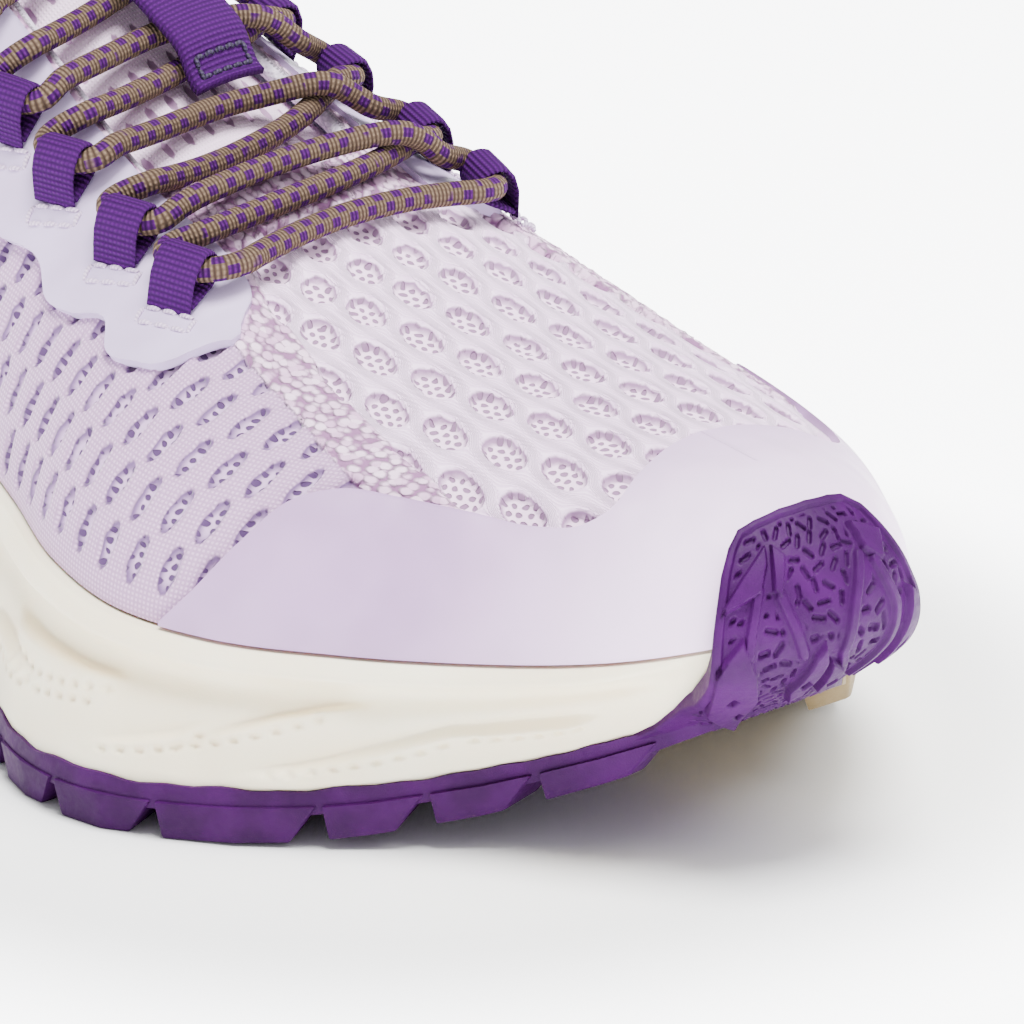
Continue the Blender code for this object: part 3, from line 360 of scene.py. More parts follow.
def reach_rise(x, reach, medial):
    """Rise of the place on the last that lies a level reach out from the crest."""
    foot = feather(angle_at(x, medial))
    centre = spine(foot[..., 0])
    side = CREST.at("side_power", centre[..., 0])
    width = np.linalg.norm(foot[..., :2] - centre, axis=-1)
    return np.degrees(np.arccos(np.clip(reach / width, 0, 1) ** (side / 2)))


def throat_point(x, reach):
    """Place on the last at a signed reach from the throat's middle, lateral below zero."""
    x, reach = arrays(x, reach)
    reach = reach + eyelet(x, "shift")
    lateral = last_point(angle_at(x), reach_rise(x, np.abs(reach), False))
    medial = last_point(angle_at(x, True), reach_rise(x, np.abs(reach), True))
    return np.where((reach < 0)[..., None], lateral, medial)


def throat_frame(x, reach):
    """Place on the last with the directions along the throat, across it and out of it."""
    small = 0.5
    along = throat_point(x + small, reach) - throat_point(x - small, reach)
    across = throat_point(x, reach + small) - throat_point(x, reach - small)
    along, out = unit(along), unit(np.cross(along, across))
    return throat_point(x, reach), along, np.cross(out, along), out


def tongue_point(x, reach):
    """Last surface under the throat, and a flatter plate where the tongue stands free."""
    x, reach = arrays(x, reach)
    free = soft_step(TONGUE_FREE - x, 0.0, 9.0)[..., None]
    z = CREST.at("z", x) - TONGUE_BOW * reach**2
    middle = CREST.at("y", x) + eyelet(x, "shift")
    plate = np.stack([x, middle + reach, z], -1)
    return throat_point(x, reach) * (1 - free) + plate * free


def footbed_depth(x):
    return FOOTBED_DEPTH - 3.5 * np.clip((x - 80.0) / 30.0, 0, 1)


def inset(angle, distance):
    """Feather line moved into the shoe by a distance."""
    foot = feather(angle)
    plan = foot[..., :2] - feather_out(angle) * distance
    return np.concatenate([plan, foot[..., 2:]], -1)


def toward_spine(points, angle, share):
    """Points moved a share of the way to the shoe's centre line, in plan."""
    centre = spine(feather(angle)[..., 0])
    return points[..., :2] + (centre - points[..., :2]) * share


def bed_ring(angle, distance, share, lift):
    """Places over the footbed, a share of the way in from its edge."""
    edge = inset(angle, distance)
    plan = toward_spine(edge, angle, share)
    mirror = feather(2 * math.pi - angle)[..., 2]
    level = edge[..., 2] * (1 - share / 2) + mirror * share / 2
    z = level - GAP - footbed_depth(plan[..., 0]) + lift
    return np.concatenate([plan, z[..., None]], -1)


def under_ring(angle, share, out, lift):
    """Places over the midsole's underside, a share of the way in from its lower edge."""
    low = midsole_side(angle, 0.0)[..., :2] + feather_out(angle) * out
    plan = toward_spine(low, angle, share)
    return np.concatenate([plan, (under(plan[..., 0], "midsole_z") + lift)[..., None]], -1)


def prism(plan, draft):
    """Lug: a prism that starts inside the rubber sheet and narrows to its face."""
    plan = np.asarray(plan, float)
    top = under(plan[:, 0], "midsole_z") - GAP - 0.5 * OUTSOLE_THICK
    face = plan + np.asarray(draft, float)
    low = under(face[:, 0], "lug_z")
    count = len(plan)
    points = np.concatenate([np.column_stack([plan, top]), np.column_stack([face, low])])
    faces = [tuple(range(count)), tuple(reversed(range(count, 2 * count)))]
    faces += [(k, k + count, (k + 1) % count + count, (k + 1) % count) for k in range(count)]
    return points, faces


def edge_lug(row, medial):
    """Lug at the edge of the sole: upright at the heel end, sloping at the toe end."""
    start, end, depth = row
    angles = [angle_at(x, medial) for x in (start, (start + end) / 2, end)]
    outer = [under_ring(angle, 0.0, LUG_STAND, 0.0)[:2] for angle in angles]
    out = [feather_out(angle) for angle in angles]
    inner = [o - n * depth for o, n in zip(outer, out)]
    along = unit(outer[2] - outer[0])
    heel, toe, side = along * 0.7, -along * 3.4, -out[1] * 0.6
    draft = np.array([heel + side, side, toe + side, toe - side, -side, heel - side])
    return prism(np.array(outer + inner[::-1]), draft)


def chevron_arms(row, sides, clear):
    """The arms of a chevron lug, one for each side asked for."""
    tip, half, sweep = row
    back = tip - CHEVRON_LENGTH
    centre = float(CREST.at("y", tip))
    solids = []
    for side in sides:
        near, far = centre + side * clear, centre + side * half
        plan = [(tip, near), (back, near), (back - sweep, far), (tip - sweep, far)]
        into = 0.6 * side
        solids.append(prism(plan, [(-0.8, into), (0.8, into), (0.8, -into), (-0.8, -into)]))
    return solids


LOOP_LIFT = GAP + FILM + GAP
EYE_HEIGHT = 2 * LOOP_THICK + 2 * LACE_RADIUS + 2 * GAP


def loop_frame(x, medial):
    """Place of a loop, with the directions along its eye, in to the throat and out of the upper."""
    side = 1 if medial else -1
    here, along, across, out = throat_frame(x, side * float(eyelet(x, "loop")))
    inward = -side * across
    cos, sin = math.cos(LOOP_TURN), math.sin(LOOP_TURN)
    return here, along * cos + inward * sin, inward * cos - along * sin, out


# Meshes and looks


def to_row(points):
    """Tables' frame in millimetres to the row frame in metres."""
    return (np.asarray(points, float) - (*MIDDLE, 0.0)) * MM


def grid_quads(rows, columns, close_columns=False):
    """Quads of a grid of points stored row by row."""
    last = columns if close_columns else columns - 1
    i, j = np.meshgrid(np.arange(rows - 1), np.arange(last), indexing="ij")
    a = i * columns + j
    b = i * columns + (j + 1) % columns
    return np.stack([a, a + columns, b + columns, b], -1).reshape(-1, 4)


def strap_faces(rows, columns):
    """Faces round a row of flat rings, and across the first and the last of them."""
    j = np.arange(columns // 2 - 1)
    cap = np.stack([j, j + 1, columns - 2 - j, columns - 1 - j], -1)
    sides = grid_quads(rows, columns, close_columns=True)
    return np.concatenate([sides, cap, cap + (rows - 1) * columns])


def set_attribute(mesh, name, values):
    values = np.asarray(values, np.float32)
    kind, key = ("FLOAT", "value") if values.ndim == 1 else ("FLOAT_VECTOR", "vector")
    mesh.attributes.new(name, kind, "POINT").data.foreach_set(key, values.ravel())


WELD = 0.000004  # points nearer than this are one, in metres


def mesh_of(name, points, faces, attributes, weld=True, turn=False):
    """Smooth mesh in the row frame with values on its points. One named shift moves them along
    their normals, by millimetres."""
    mesh = bpy.data.meshes.new(name)
    points = np.asarray(points).reshape(-1, 3)
    mesh.from_pydata(to_row(points).tolist(), [], [list(map(int, f)) for f in faces])
    for key, values in attributes.items():
        set_attribute(mesh, key, values)
    work = bmesh.new()
    work.from_mesh(mesh)
    if weld:
        bmesh.ops.remove_doubles(work, verts=work.verts, dist=WELD)
        bmesh.ops.dissolve_degenerate(work, edges=work.edges, dist=WELD / 2)
    if turn:
        bmesh.ops.recalc_face_normals(work, faces=work.faces)
    bmesh.ops.delete(work, geom=[v for v in work.verts if not v.link_faces], context="VERTS")
    work.to_mesh(mesh)
    work.free()
    mesh.polygons.foreach_set("use_smooth", np.ones(len(mesh.polygons), bool))
    mesh.update()
    if "shift" in attributes:
        swell(mesh)
    return mesh


def swell(mesh):
    """Moves the points along their normals by the shift on them."""
    place, normal = np.zeros((2, len(mesh.vertices) * 3), np.float32)
    shift = np.zeros(len(mesh.vertices), np.float32)
    mesh.vertices.foreach_get("co", place)
    mesh.vertex_normals.foreach_get("vector", normal)
    mesh.attributes["shift"].data.foreach_get("value", shift)
    moved = place.reshape(-1, 3) + normal.reshape(-1, 3) * shift[:, None] * MM
    mesh.vertices.foreach_set("co", moved.astype(np.float32).ravel())
    mesh.update()


def walled_mesh(name, top, low):
    """Grid of points with a wall from its border down to the same border of a lower grid."""
    rows, columns = top.shape[:2]
    index = np.arange(rows * columns).reshape(rows, columns)
    ring = np.concatenate([index[0], index[1:, -1], index[-1, -2::-1], index[-2:0:-1, 0]])
    below = rows * columns + np.arange(len(ring))
    wall = np.stack([ring, below, np.roll(below, -1), np.roll(ring, -1)], -1)
    points = np.concatenate([top.reshape(-1, 3), low.reshape(-1, 3)[ring]])
    return mesh_of(name, points, [*grid_quads(rows, columns), *wall], {"place": points})


def piece(name, mesh, look, slot, *nodes):
    """Object of a mesh that rides on the shoe and stands for CAD nodes."""
    mesh.materials.append(look)
    made = bpy.data.objects.new(name, mesh)
    bpy.context.scene.collection.objects.link(made)
    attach(made, "root")
    if nodes:
        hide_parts(*nodes)
    return made


def joined(solids):
    """One list of points and faces of several solids."""
    points, faces, first = [], [], 0
    for where, sides in solids:
        points.append(where)
        faces += [tuple(int(v) + first for v in f) for f in sides]
        first += len(where)
    return np.concatenate(points), faces


def linear(red, green, blue):
    """Linear colour of an sRGB one from 0 to 255."""
    channel = np.array((red, green, blue)) / 255.0
    low, high = channel / 12.92, ((channel + 0.055) / 1.055) ** 2.4
    return tuple(float(c) for c in np.where(channel <= 0.04045, low, high))


class Look:
    """Builder of a node material round one Principled shader."""

    def __init__(self, name, roughness, **sockets):
        self.material = bpy.data.materials.new(name)
        self.material.use_nodes = True
        self.tree = self.material.node_tree
        self.shader = self.tree.nodes["Principled BSDF"]
        self.shader.inputs["Roughness"].default_value = roughness
        for key, value in sockets.items():
            self.shader.inputs[key.replace("_", " ")].default_value = value

    def node(self, kind, inputs, **settings):
        made = self.tree.nodes.new("ShaderNode" + kind)
        for key, value in settings.items():
            setattr(made, key, value)
        for key, value in inputs.items():
            if isinstance(value, bpy.types.NodeSocket):
                self.tree.links.new(value, made.inputs[key])
            else:
                made.inputs[key].default_value = value
        return made.outputs

    def math(self, operation, a, b=0.0):
        return self.node("Math", {0: a, 1: b}, operation=operation)[0]

    def value(self, name):
        return self.node("Attribute", {}, attribute_name=name)["Fac"]

    def place(self):
        return self.node("Attribute", {}, attribute_name="place")["Vector"]

    def parts(self, vector):
        return self.node("SeparateXYZ", {0: vector})

    def ramp(self, value, low, high, start=0.0, end=1.0):
        inputs = {"Value": value, "From Min": low, "From Max": high, "To Min": start, "To Max": end}
        return self.node("MapRange", inputs, interpolation_type="SMOOTHSTEP")[0]

    def wave(self, value, length):
        """0 to 1 sine of a length in millimetres."""
        turn = self.math("MULTIPLY", value, 2 * math.pi / length)
        return self.half(self.math("SINE", turn))

    def half(self, value):
        return self.math("ADD", self.math("MULTIPLY", value, 0.5), 0.5)

    def noise(self, vector, scale, detail=3.0):
        return self.node("TexNoise", {"Vector": vector, "Scale": scale, "Detail": detail})[0]

    def cells(self, vector, scale, jitter):
        return self.node("TexVoronoi", {"Vector": vector, "Scale": scale, "Randomness": jitter})

    def hexes(self, x, y, pitch):
        """Dots on a honeycomb: 1 in the middle of each, and below 0 between them."""
        turn = 4 * math.pi / (math.sqrt(3) * pitch)
        total = self.math("COSINE", self.math("MULTIPLY", x, turn))
        for way in (-0.5, 0.5):
            across = self.math("MULTIPLY", y, 0.866 * turn)
            lean = self.math("ADD", self.math("MULTIPLY", x, way * turn), across)
            total = self.math("ADD", total, self.math("COSINE", lean))
        return self.math("DIVIDE", total, 3.0)

    def less(self, value):
        """What is left of 1."""
        return self.math("SUBTRACT", 1.0, value)

    def blend(self, share, a, b):
        """Number between two by a share."""
        return self.node("Mix", {0: share, 2: a, 3: b}, data_type="FLOAT")[0]

    def product(self, *values):
        total = values[0]
        for value in values[1:]:
            total = self.math("MULTIPLY", total, value)
        return total

    def mix(self, share, a, b):
        a, b = ((*c, 1.0) if isinstance(c, tuple) else c for c in (a, b))
        return self.node("Mix", {0: share, 6: a, 7: b}, data_type="RGBA")[2]

    def colour(self, value):
        if isinstance(value, tuple):
            self.shader.inputs["Base Color"].default_value = (*value, 1.0)
        else:
            self.tree.links.new(value, self.shader.inputs["Base Color"])

    def rough(self, value):
        self.tree.links.new(value, self.shader.inputs["Roughness"])

    def bump(self, *layers):
        """Layers of height, from 0 to 1, each with its depth in millimetres."""
        normal = None
        for height, depth in layers:
            inputs = {"Height": height, "Distance": depth * MM, "Strength": 1.0}
            if normal is not None:
                inputs["Normal"] = normal
            normal = self.node("Bump", inputs)[0]
        self.tree.links.new(normal, self.shader.inputs["Normal"])
        return self.material


# Upper

OVAL_POWER = 2.2
FAR = 9.0  # outside every hole
NEIGHBOURS = (-1, 0, 1)
# Holes of the vamp: rows across the foot, each shifted from the one behind it
HOLE_ROW = 7.65
HOLE_PITCH = 7.4
HOLE_SHIFT = 2.3
HOLE_FROM = (61.3, -5.8)  # one hole: place along the shoe, and arc from the crest
HOLE_TIGHT = 5.7  # row spacing behind that hole
HOLE_SIZE = (3.45, 2.15)  # half length and half width
HOLE_TILT = math.radians(-8.0)
HOLE_DEPTH = 1.25
# Slots of the sides
SLOT_PITCH = 4.4
SLOT_ROW = 7.0
SLOT_FROM = (59.5, 20.5)  # one slot: place along the feather line, and arc up from it
SLOT_SIZE = (3.3, 0.95)
SLOT_TILT = math.radians(84.0)
SLOT_DEPTH = 1.0
SLOT_FALL = 0.13  # rows of slots fall towards the heel, behind SLOT_BEND
SLOT_BEND = 50.0
SLOT_BACK = -52.0  # the slots end here, and each higher row SLOT_SLOPE further forward
SLOT_SLOPE = 3.0
SLOT_FOOT = 0.8  # clear of the feather line
# Woven band between vamp and sides: arc from the crest to its upper and lower edge
BAND = Table(
    "x upper lower",
    (36.0, 16.0, 22.5), (45.0, 18.5, 26.0), (52.0, 21.5, 29.0), (60.0, 23.3, 30.6),
    (70.0, 25.6, 32.0), (79.0, 26.9, 33.6), (87.0, 27.3, 34.4), (96.0, 28.6, 35.8),
)
BAND_FRONT = 45.0  # front edge of the band where it crosses before the throat
FINE_STEP = 0.6
COARSE_STEP = 2.4
UPPER_ROWS = 104
ROLL_ROWS = 5
LINING_ROWS = 10
PORE_PITCH = 1.35  # honeycomb inside the holes
SLUB_SCALE = 0.7
# Colours of the cloth, with painted shade at the rims of holes and slots, in the pores and between
# the band's nubs
MESH_DARK = linear(230, 194, 231)
MESH_LIGHT = linear(250, 220, 250)
SIDE_DARK = linear(170, 132, 173)
SIDE_LIGHT = linear(213, 177, 214)
# Painted shade at the rims inside the vamp's holes
VAMP_HOLE_RIM_SHADE = linear(150, 112, 152)
VAMP_THREAD = linear(244, 212, 240)
# Painted shade in the pores of the vamp's holes
VAMP_PORE_SHADE = linear(140, 106, 140)
# Painted shade at the rims inside the side's slots
SIDE_SLOT_RIM_SHADE = linear(104, 72, 122)
SIDE_THREAD = linear(200, 166, 208)
# Painted shade in the pores of the side's slots
SIDE_PORE_SHADE = linear(74, 44, 92)
SLUB_PINK = linear(206, 160, 200)
SLUB_PALE = linear(238, 206, 232)
# Painted shade in the gaps between the band's nubs
SLUB_GAP_SHADE = linear(140, 92, 136)
LINING_DARK = linear(196, 184, 204)
LINING_LIGHT = linear(222, 210, 228)


def last_normal(angle, rise):
    """Direction out of the upper at a place on it."""
    angle, rise = arrays(angle, np.clip(rise, 2.0, 88.5))
    along = last_point(angle + 0.002, rise) - last_point(angle - 0.002, rise)
    up = last_point(angle, rise + 0.5) - last_point(angle, rise - 0.5)
    return unit(np.cross(along, up))


def round_stations(step):
    """Angles all the way round the feather line, closer together where the step is small."""
    half = np.linspace(0, math.pi, 6001)
    foot = feather(half)
    length = np.linalg.norm(np.diff(foot, axis=0), axis=1)
    density = np.concatenate([[0.0], np.cumsum(length / step(0.5 * (foot[1:, 0] + foot[:-1, 0])))])
    count = int(round(density[-1])) + 1
    angle = np.interp(np.linspace(0, density[-1], count), density, half)
    return np.concatenate([angle, (2 * math.pi - angle[::-1])[1:]])


def section_rises(angle, top, count):
    """Rises spaced evenly by arc from the feather line to a top edge, with the arc up from the
    feather line and the arc from the crest."""
    dense = np.linspace(0, 90, 181)
    points = last_point(angle[:, None], dense)
    steps = np.linalg.norm(np.diff(points, axis=1), axis=-1)
    arc = np.concatenate([np.zeros((len(angle), 1)), np.cumsum(steps, 1)], 1)
    share = np.linspace(0, 1, count)
    rise = np.empty((len(angle), count))
    up = np.empty_like(rise)
    for k in range(len(angle)):
        up[k] = share * np.interp(top[k], dense, arc[k])
        rise[k] = np.interp(up[k], arc[k], dense)
    return rise, up, arc[:, -1:] - up


def oval(dx, dy, tilt, size):
    """1 at the edge of an oval and 0 at its middle, with the place across it."""
    p = (dx * math.cos(tilt) + dy * math.sin(tilt)) / size[0]
    q = (dy * math.cos(tilt) - dx * math.sin(tilt)) / size[1]
    return (np.abs(p) ** OVAL_POWER + np.abs(q) ** OVAL_POWER) ** (1 / OVAL_POWER), q * size[1]


def from_nearest(value, pitch):
    """Distance from the nearest whole step of a pitch, with that step."""
    step = np.round(value / pitch)
    return value - step * pitch, step


def vamp_holes(x, arc):
    """Distance inside the nearest hole, and the arc bent so that its lines flow round the holes."""
    squeeze = np.where(x < HOLE_FROM[0], HOLE_ROW / HOLE_TIGHT, 1.0)
    along = (x - HOLE_FROM[0]) * squeeze
    near = np.full(x.shape, FAR)
    flow = arc.copy()
    for step in NEIGHBOURS:
        row = np.round(along / HOLE_ROW) + step
        dy, _ = from_nearest(arc - HOLE_FROM[1] - HOLE_SHIFT * row, HOLE_PITCH)
        r, across = oval(along - row * HOLE_ROW, dy, HOLE_TILT, HOLE_SIZE)
        flow -= across / np.maximum(r, 1.0) ** 2 * (1 - soft_step(r, 1.1, 1.6))
        near = np.minimum(near, r)
    return (1 - near) * 0.5 * sum(HOLE_SIZE), flow


def side_slots(x, up):
    """Distance inside the nearest slot."""
    lift = up + SLOT_FALL * np.clip(SLOT_BEND - x, 0, None) - SLOT_FROM[1]
    near = np.full(x.shape, FAR)
    for step in NEIGHBOURS:
        row = np.round(lift / SLOT_ROW) + step
        start = SLOT_FROM[0] + np.where(row % 2 == 0, 0.0, SLOT_PITCH / 2)
        dx, column = from_nearest(x - start, SLOT_PITCH)
        dy = lift - row * SLOT_ROW
        r, _ = oval(dx, dy, SLOT_TILT, SLOT_SIZE)
        dropped = start + column * SLOT_PITCH < SLOT_BACK + SLOT_SLOPE * row
        dropped |= up - dy < SLOT_SIZE[0] + SLOT_FOOT
        near = np.minimum(near, np.where(dropped, FAR, r))
    return (1 - near) * 1.3


def upper_pattern(station_x, x, up, arc, signed):
    """Values that shape and colour the upper: depth into a hole or slot, depth into the band,
    lines of the knit, and 1 on the sides."""
    upper, lower = BAND.at("upper", x), BAND.at("lower", x)
    band = np.maximum(np.minimum(arc - upper, lower - arc), np.minimum(BAND_FRONT - x, lower - arc))
    holes, flow = vamp_holes(x, signed)
    holes = np.minimum(holes, np.minimum(upper - arc, x - BAND_FRONT) + 0.6)
    slots = np.minimum(side_slots(station_x, up), np.minimum(arc - lower + 0.4, up - 1.2))
    side = soft_step(arc - 0.5 * (upper + lower), -0.5, 0.5)
    side = np.where(x < BAND_FRONT - 3.0, 1.0, side)
    pit = np.where(side > 0.5, slots, holes)
    return np.clip(pit, -2, 2), np.clip(band, -3, 3), flow, side


def lining_depth(base):
    """Wall of the upper, thicker where the collar is padded."""
    back = np.clip((COLLAR_PAD_FRONT - base[..., 0]) / 22.0, 0, 1)
    edge = COLLAR.at("z", np.minimum(base[..., 0], COLLAR_FRONT))
    near = np.clip(1 - (edge - base[..., 2]) / 26.0, 0, 1)
    return UPPER_WALL + (COLLAR_WALL - UPPER_WALL) * back * np.sin(math.pi * near**0.7) ** 0.8


def upper_shift(x, arc, pit, band, side):
    """How far the cloth stands out: holes pressed in with a soft rim, and a nubbly band."""
    depth = np.where(side > 0.5, SLOT_DEPTH, HOLE_DEPTH)
    rim = 0.06 * np.exp(-(((pit + 0.45) / 0.3) ** 2))
    weave = np.sin(x * 4.1 + 1.7 * np.sin(arc * 2.3)) * np.sin(arc * 4.6 + 1.3 * np.sin(x * 1.9))
    raised = soft_step(band, -0.2, 0.5) * (0.35 + 0.22 * weave)
    return -depth * soft_step(pit, -0.12, 0.42) + rim + raised


def build_upper(look):
    """Cloth outside, a rolled edge at throat and collar, and the lining."""
    angle = round_stations(lambda x: np.where(x > SLOT_BACK - 4, FINE_STEP, COARSE_STEP))
    top = top_edge(angle)
    rise, up, arc = section_rises(angle, top, UPPER_ROWS)
    outer = last_point(angle[:, None], rise)
    signed = np.where((angle > math.pi)[:, None], arc, -arc)
    station_x = np.broadcast_to(feather(angle)[:, :1], rise.shape)
    pit, band, flow, side = upper_pattern(station_x, outer[..., 0], up, arc, signed)

    edge, edge_normal = outer[:, -1], last_normal(angle, rise[:, -1])
    tangent = edge - outer[:, -2]
    tangent /= np.maximum(np.linalg.norm(tangent, axis=1, keepdims=True), 1e-6)
    open_top = soft_step(90.0 - top, 0.5, 4.0)[:, None]
    half = UPPER_WALL / 2
    turns = np.linspace(0, math.pi, ROLL_ROWS + 2)[1:-1]
    roll = [edge - edge_normal * half * (1 - math.cos(t)) + tangent * half * math.sin(t) * open_top
            for t in turns]
    inner_rise = rise[:, np.linspace(UPPER_ROWS - 1, 0, LINING_ROWS).astype(int)]
    base = last_point(angle[:, None], inner_rise)
    inside = base - last_normal(angle[:, None], inner_rise) * lining_depth(base)[..., None]

    grid = np.concatenate([outer, np.stack(roll, 1), inside], 1)
    place = grid.copy()
    place[:, :UPPER_ROWS, 1], place[:, :UPPER_ROWS, 2] = signed, up

    def padded(values, fill):
        rest = np.full((len(angle), ROLL_ROWS + LINING_ROWS), fill)
        return np.concatenate([values, rest], 1).ravel()

    values = {
        "place": place.reshape(-1, 3), "pit": padded(pit, -2.0), "band": padded(band, -3.0),
        "flow": padded(flow, 0.0), "side": padded(side, 1.0), "inner": padded(0.0 * arc, 1.0),
        "shift": padded(upper_shift(outer[..., 0], arc, pit, band, side), 0.0),
    }
    # No edge is rolled where the two sides meet along the crest
    faces = grid_quads(len(angle), grid.shape[1])
    station, row = (faces // grid.shape[1]).min(1), (faces % grid.shape[1]).min(1)
    shut = open_top[:, 0] < 1e-6
    rolled = (row >= UPPER_ROWS - 1) & (row < UPPER_ROWS + ROLL_ROWS)
    faces = faces[~(shut[station] & shut[station + 1] & rolled)]
    return piece("upper_shell", mesh_of("upper", grid, faces, values), look, "mesh", "upper")


def mesh_look():
    look = Look("engineered_mesh", 0.85, Sheen_Weight=0.25, Sheen_Roughness=0.5)
    place = look.place()
    pit, band, flow, side, inner = map(look.value, ("pit", "band", "flow", "side", "inner"))
    hole = look.ramp(pit, -0.05, 0.14)
    x, arc, up = look.parts(place)
    stitch = look.product(look.wave(x, 0.52), look.wave(up, 0.6))
    fine = look.blend(side, look.wave(flow, 0.46), stitch)
    vamp_cloth = look.mix(fine, MESH_DARK, MESH_LIGHT)
    cloth = look.mix(side, vamp_cloth, look.mix(fine, SIDE_DARK, SIDE_LIGHT))
    wobble = look.product(look.noise(place, 0.5, 1.0), 0.9)
    height = look.blend(side, arc, up)
    # Painted shade: the honeycomb's pores are painted dark, standing in for the shade seen through
    # them
    pores = look.hexes(look.math("ADD", x, wobble), look.math("ADD", height, wobble), PORE_PITCH)
    pore = look.ramp(pores, 0.0, 0.38)
    # Painted shade: each hole or slot floor darkens towards its rim, standing in for the shade cast
    # there
    clear_of_rim_shade = look.ramp(pit, 0.05, 0.75)
    vamp_hole_floor_shaded = look.mix(pore, look.mix(clear_of_rim_shade, VAMP_HOLE_RIM_SHADE, VAMP_THREAD), VAMP_PORE_SHADE)
    side_slot_floor_shaded = look.mix(pore, look.mix(clear_of_rim_shade, SIDE_SLOT_RIM_SHADE, SIDE_THREAD), SIDE_PORE_SHADE)
    # behind is the floor colour of the holes and slots, with its painted shade at the rims and in
    # the pores
    behind = look.mix(side, vamp_hole_floor_shaded, side_slot_floor_shaded)
    in_band = look.ramp(band, -0.15, 0.25)
    slub = look.cells(place, SLUB_SCALE, 0.8)
    nub = look.ramp(slub["Distance"], 0.76, 0.42)
    tone = look.ramp(look.noise(slub["Position"], 3.0), 0.35, 0.65)
    # Painted shade: the gaps between the band's raised nubs are painted dark
    woven = look.mix(nub, SLUB_GAP_SHADE, look.mix(tone, SLUB_PINK, SLUB_PALE))
    colour = look.mix(in_band, look.mix(hole, cloth, behind), woven)
    lining = look.mix(look.wave(look.math("ADD", x, up), 1.1), LINING_DARK, LINING_LIGHT)
    look.colour(look.mix(inner, colour, lining))
    return look.bump(
        (look.product(fine, look.less(hole), look.less(in_band)), 0.10),
        (look.product(look.less(pore), hole), 0.2),
        (look.product(nub, in_band), 0.4),
    )


# Films

FILM_TOE_HIGHLIGHT = linear(244, 214, 249)  # painted highlight: the film is painted paler over the toe, standing in for light falling on its top
# The painted highlight rises over these places along the shoe
TOE_HIGHLIGHT_FADE = (92.0, 126.0)
FILM_RISE_MM = 0.45  # length of a degree of rise along the last
FILM_SINK = 0.6  # the film's border goes this far into what it lies on
TOE_TIP = 132.5
EYESTAY_ENDS = {False: 0.9, True: -8.0}  # past the table's front, lateral and medial
EYESTAY_ROUND = 3.2


def film_shell(name, grid, normal, lift, look, slot, node):
    """Thin film over a grid of points, with its border turned down onto what it lies on."""
    mesh = walled_mesh(name, grid + normal * lift, grid + normal * (lift - FILM - FILM_SINK))
    made = piece(name, mesh, look, slot, node)
    edge = made.modifiers.new("edge", "BEVEL")
    edge.width = 0.25 * MM
    edge.segments = 2
    edge.limit_method = "ANGLE"
    edge.angle_limit = math.radians(50)
    return made


def film_edge(count):
    """Place along the feather line and rise of the toe film's top edge, at even steps along it."""
    x, rise = TOE_FILM["x"], TOE_FILM["rise"]
    run = run_along(np.column_stack([x, rise * FILM_RISE_MM]))
    at = np.linspace(0.8, run[-1], count)
    return curve_through(run, x, at), curve_through(run, rise, at)


def build_toe_film(look):
    x, rise = film_edge(170)
    tip = np.linspace(x[-1], TOE_TIP, 34)[1:]
    x = np.concatenate([x, tip])
    rise = np.concatenate([rise, np.full(len(tip), 90.0)])
    angle = np.concatenate([angle_at(x), angle_at(x[:-1][::-1], True)])[:, None]
    rise = np.clip(np.concatenate([rise, rise[:-1][::-1]]), 1.0, 90.0)
    rises = 0.2 + (rise - 0.2)[:, None] * np.linspace(0.0, 1.0, 46)
    grid, normal = last_point(angle, rises), last_normal(angle, rises)
    return film_shell("toe_film", grid, normal, TOE_GAP + 0.4, look, "toe_film", "toe_overlay")


def build_eyestay(name, node, medial, look):
    x = np.linspace(EYESTAY["x"][0], EYESTAY["x"][-1] + EYESTAY_ENDS[medial], 150)[:, None]
    side = 1 if medial else -1
    inner, outer = EYESTAY.at("inner", x), EYESTAY.at("outer", x)
    tip = np.sqrt(np.clip((x[-1] - x) / EYESTAY_ROUND, 0.02, 1))
    middle = 0.5 * (inner + outer)
    inner, outer = middle + (inner - middle) * tip, middle + (outer - middle) * tip
    share = MEDIAL_EYESTAY if medial else 1.0
    reach = side * (inner - 0.5 + (outer - inner + 0.5) * share * np.linspace(0, 1, 26))
    small = 0.4
    along = throat_point(x + small, reach) - throat_point(x - small, reach)
    across = throat_point(x, reach + small) - throat_point(x, reach - small)
    normal = np.cross(along, across)
    normal = unit(normal * np.sign(normal[..., 2:]))
    order = 1 if medial else -1
    grid = throat_point(x, reach)[::order]
    return film_shell(name, grid, normal[::order], GAP + FILM, look, "eyestay_film", node)


def film_look(name, colour, gloss):
    look = Look(name, gloss, Specular_IOR_Level=0.4)
    place = look.place()
    tone = look.ramp(look.noise(place, 0.09, 2.0), 0.3, 0.7)
    light = tuple(min(1.0, c * 1.05) for c in colour)
    dark = tuple(c * 0.93 for c in colour)
    # Painted highlight: towards the toe the film turns to a paler colour, standing in for light on
    # its top
    front = look.ramp(look.parts(place)[0], *TOE_HIGHLIGHT_FADE)
    look.colour(look.mix(front, look.mix(tone, dark, light), FILM_TOE_HIGHLIGHT))
    look.rough(look.ramp(look.noise(place, 0.5), 0.2, 0.8, gloss - 0.05, gloss + 0.08))
    return look.bump((look.noise(place, 0.11, 1.0), 1.3), (look.noise(place, 3.0), 0.02))


# Lace, loops and keeper

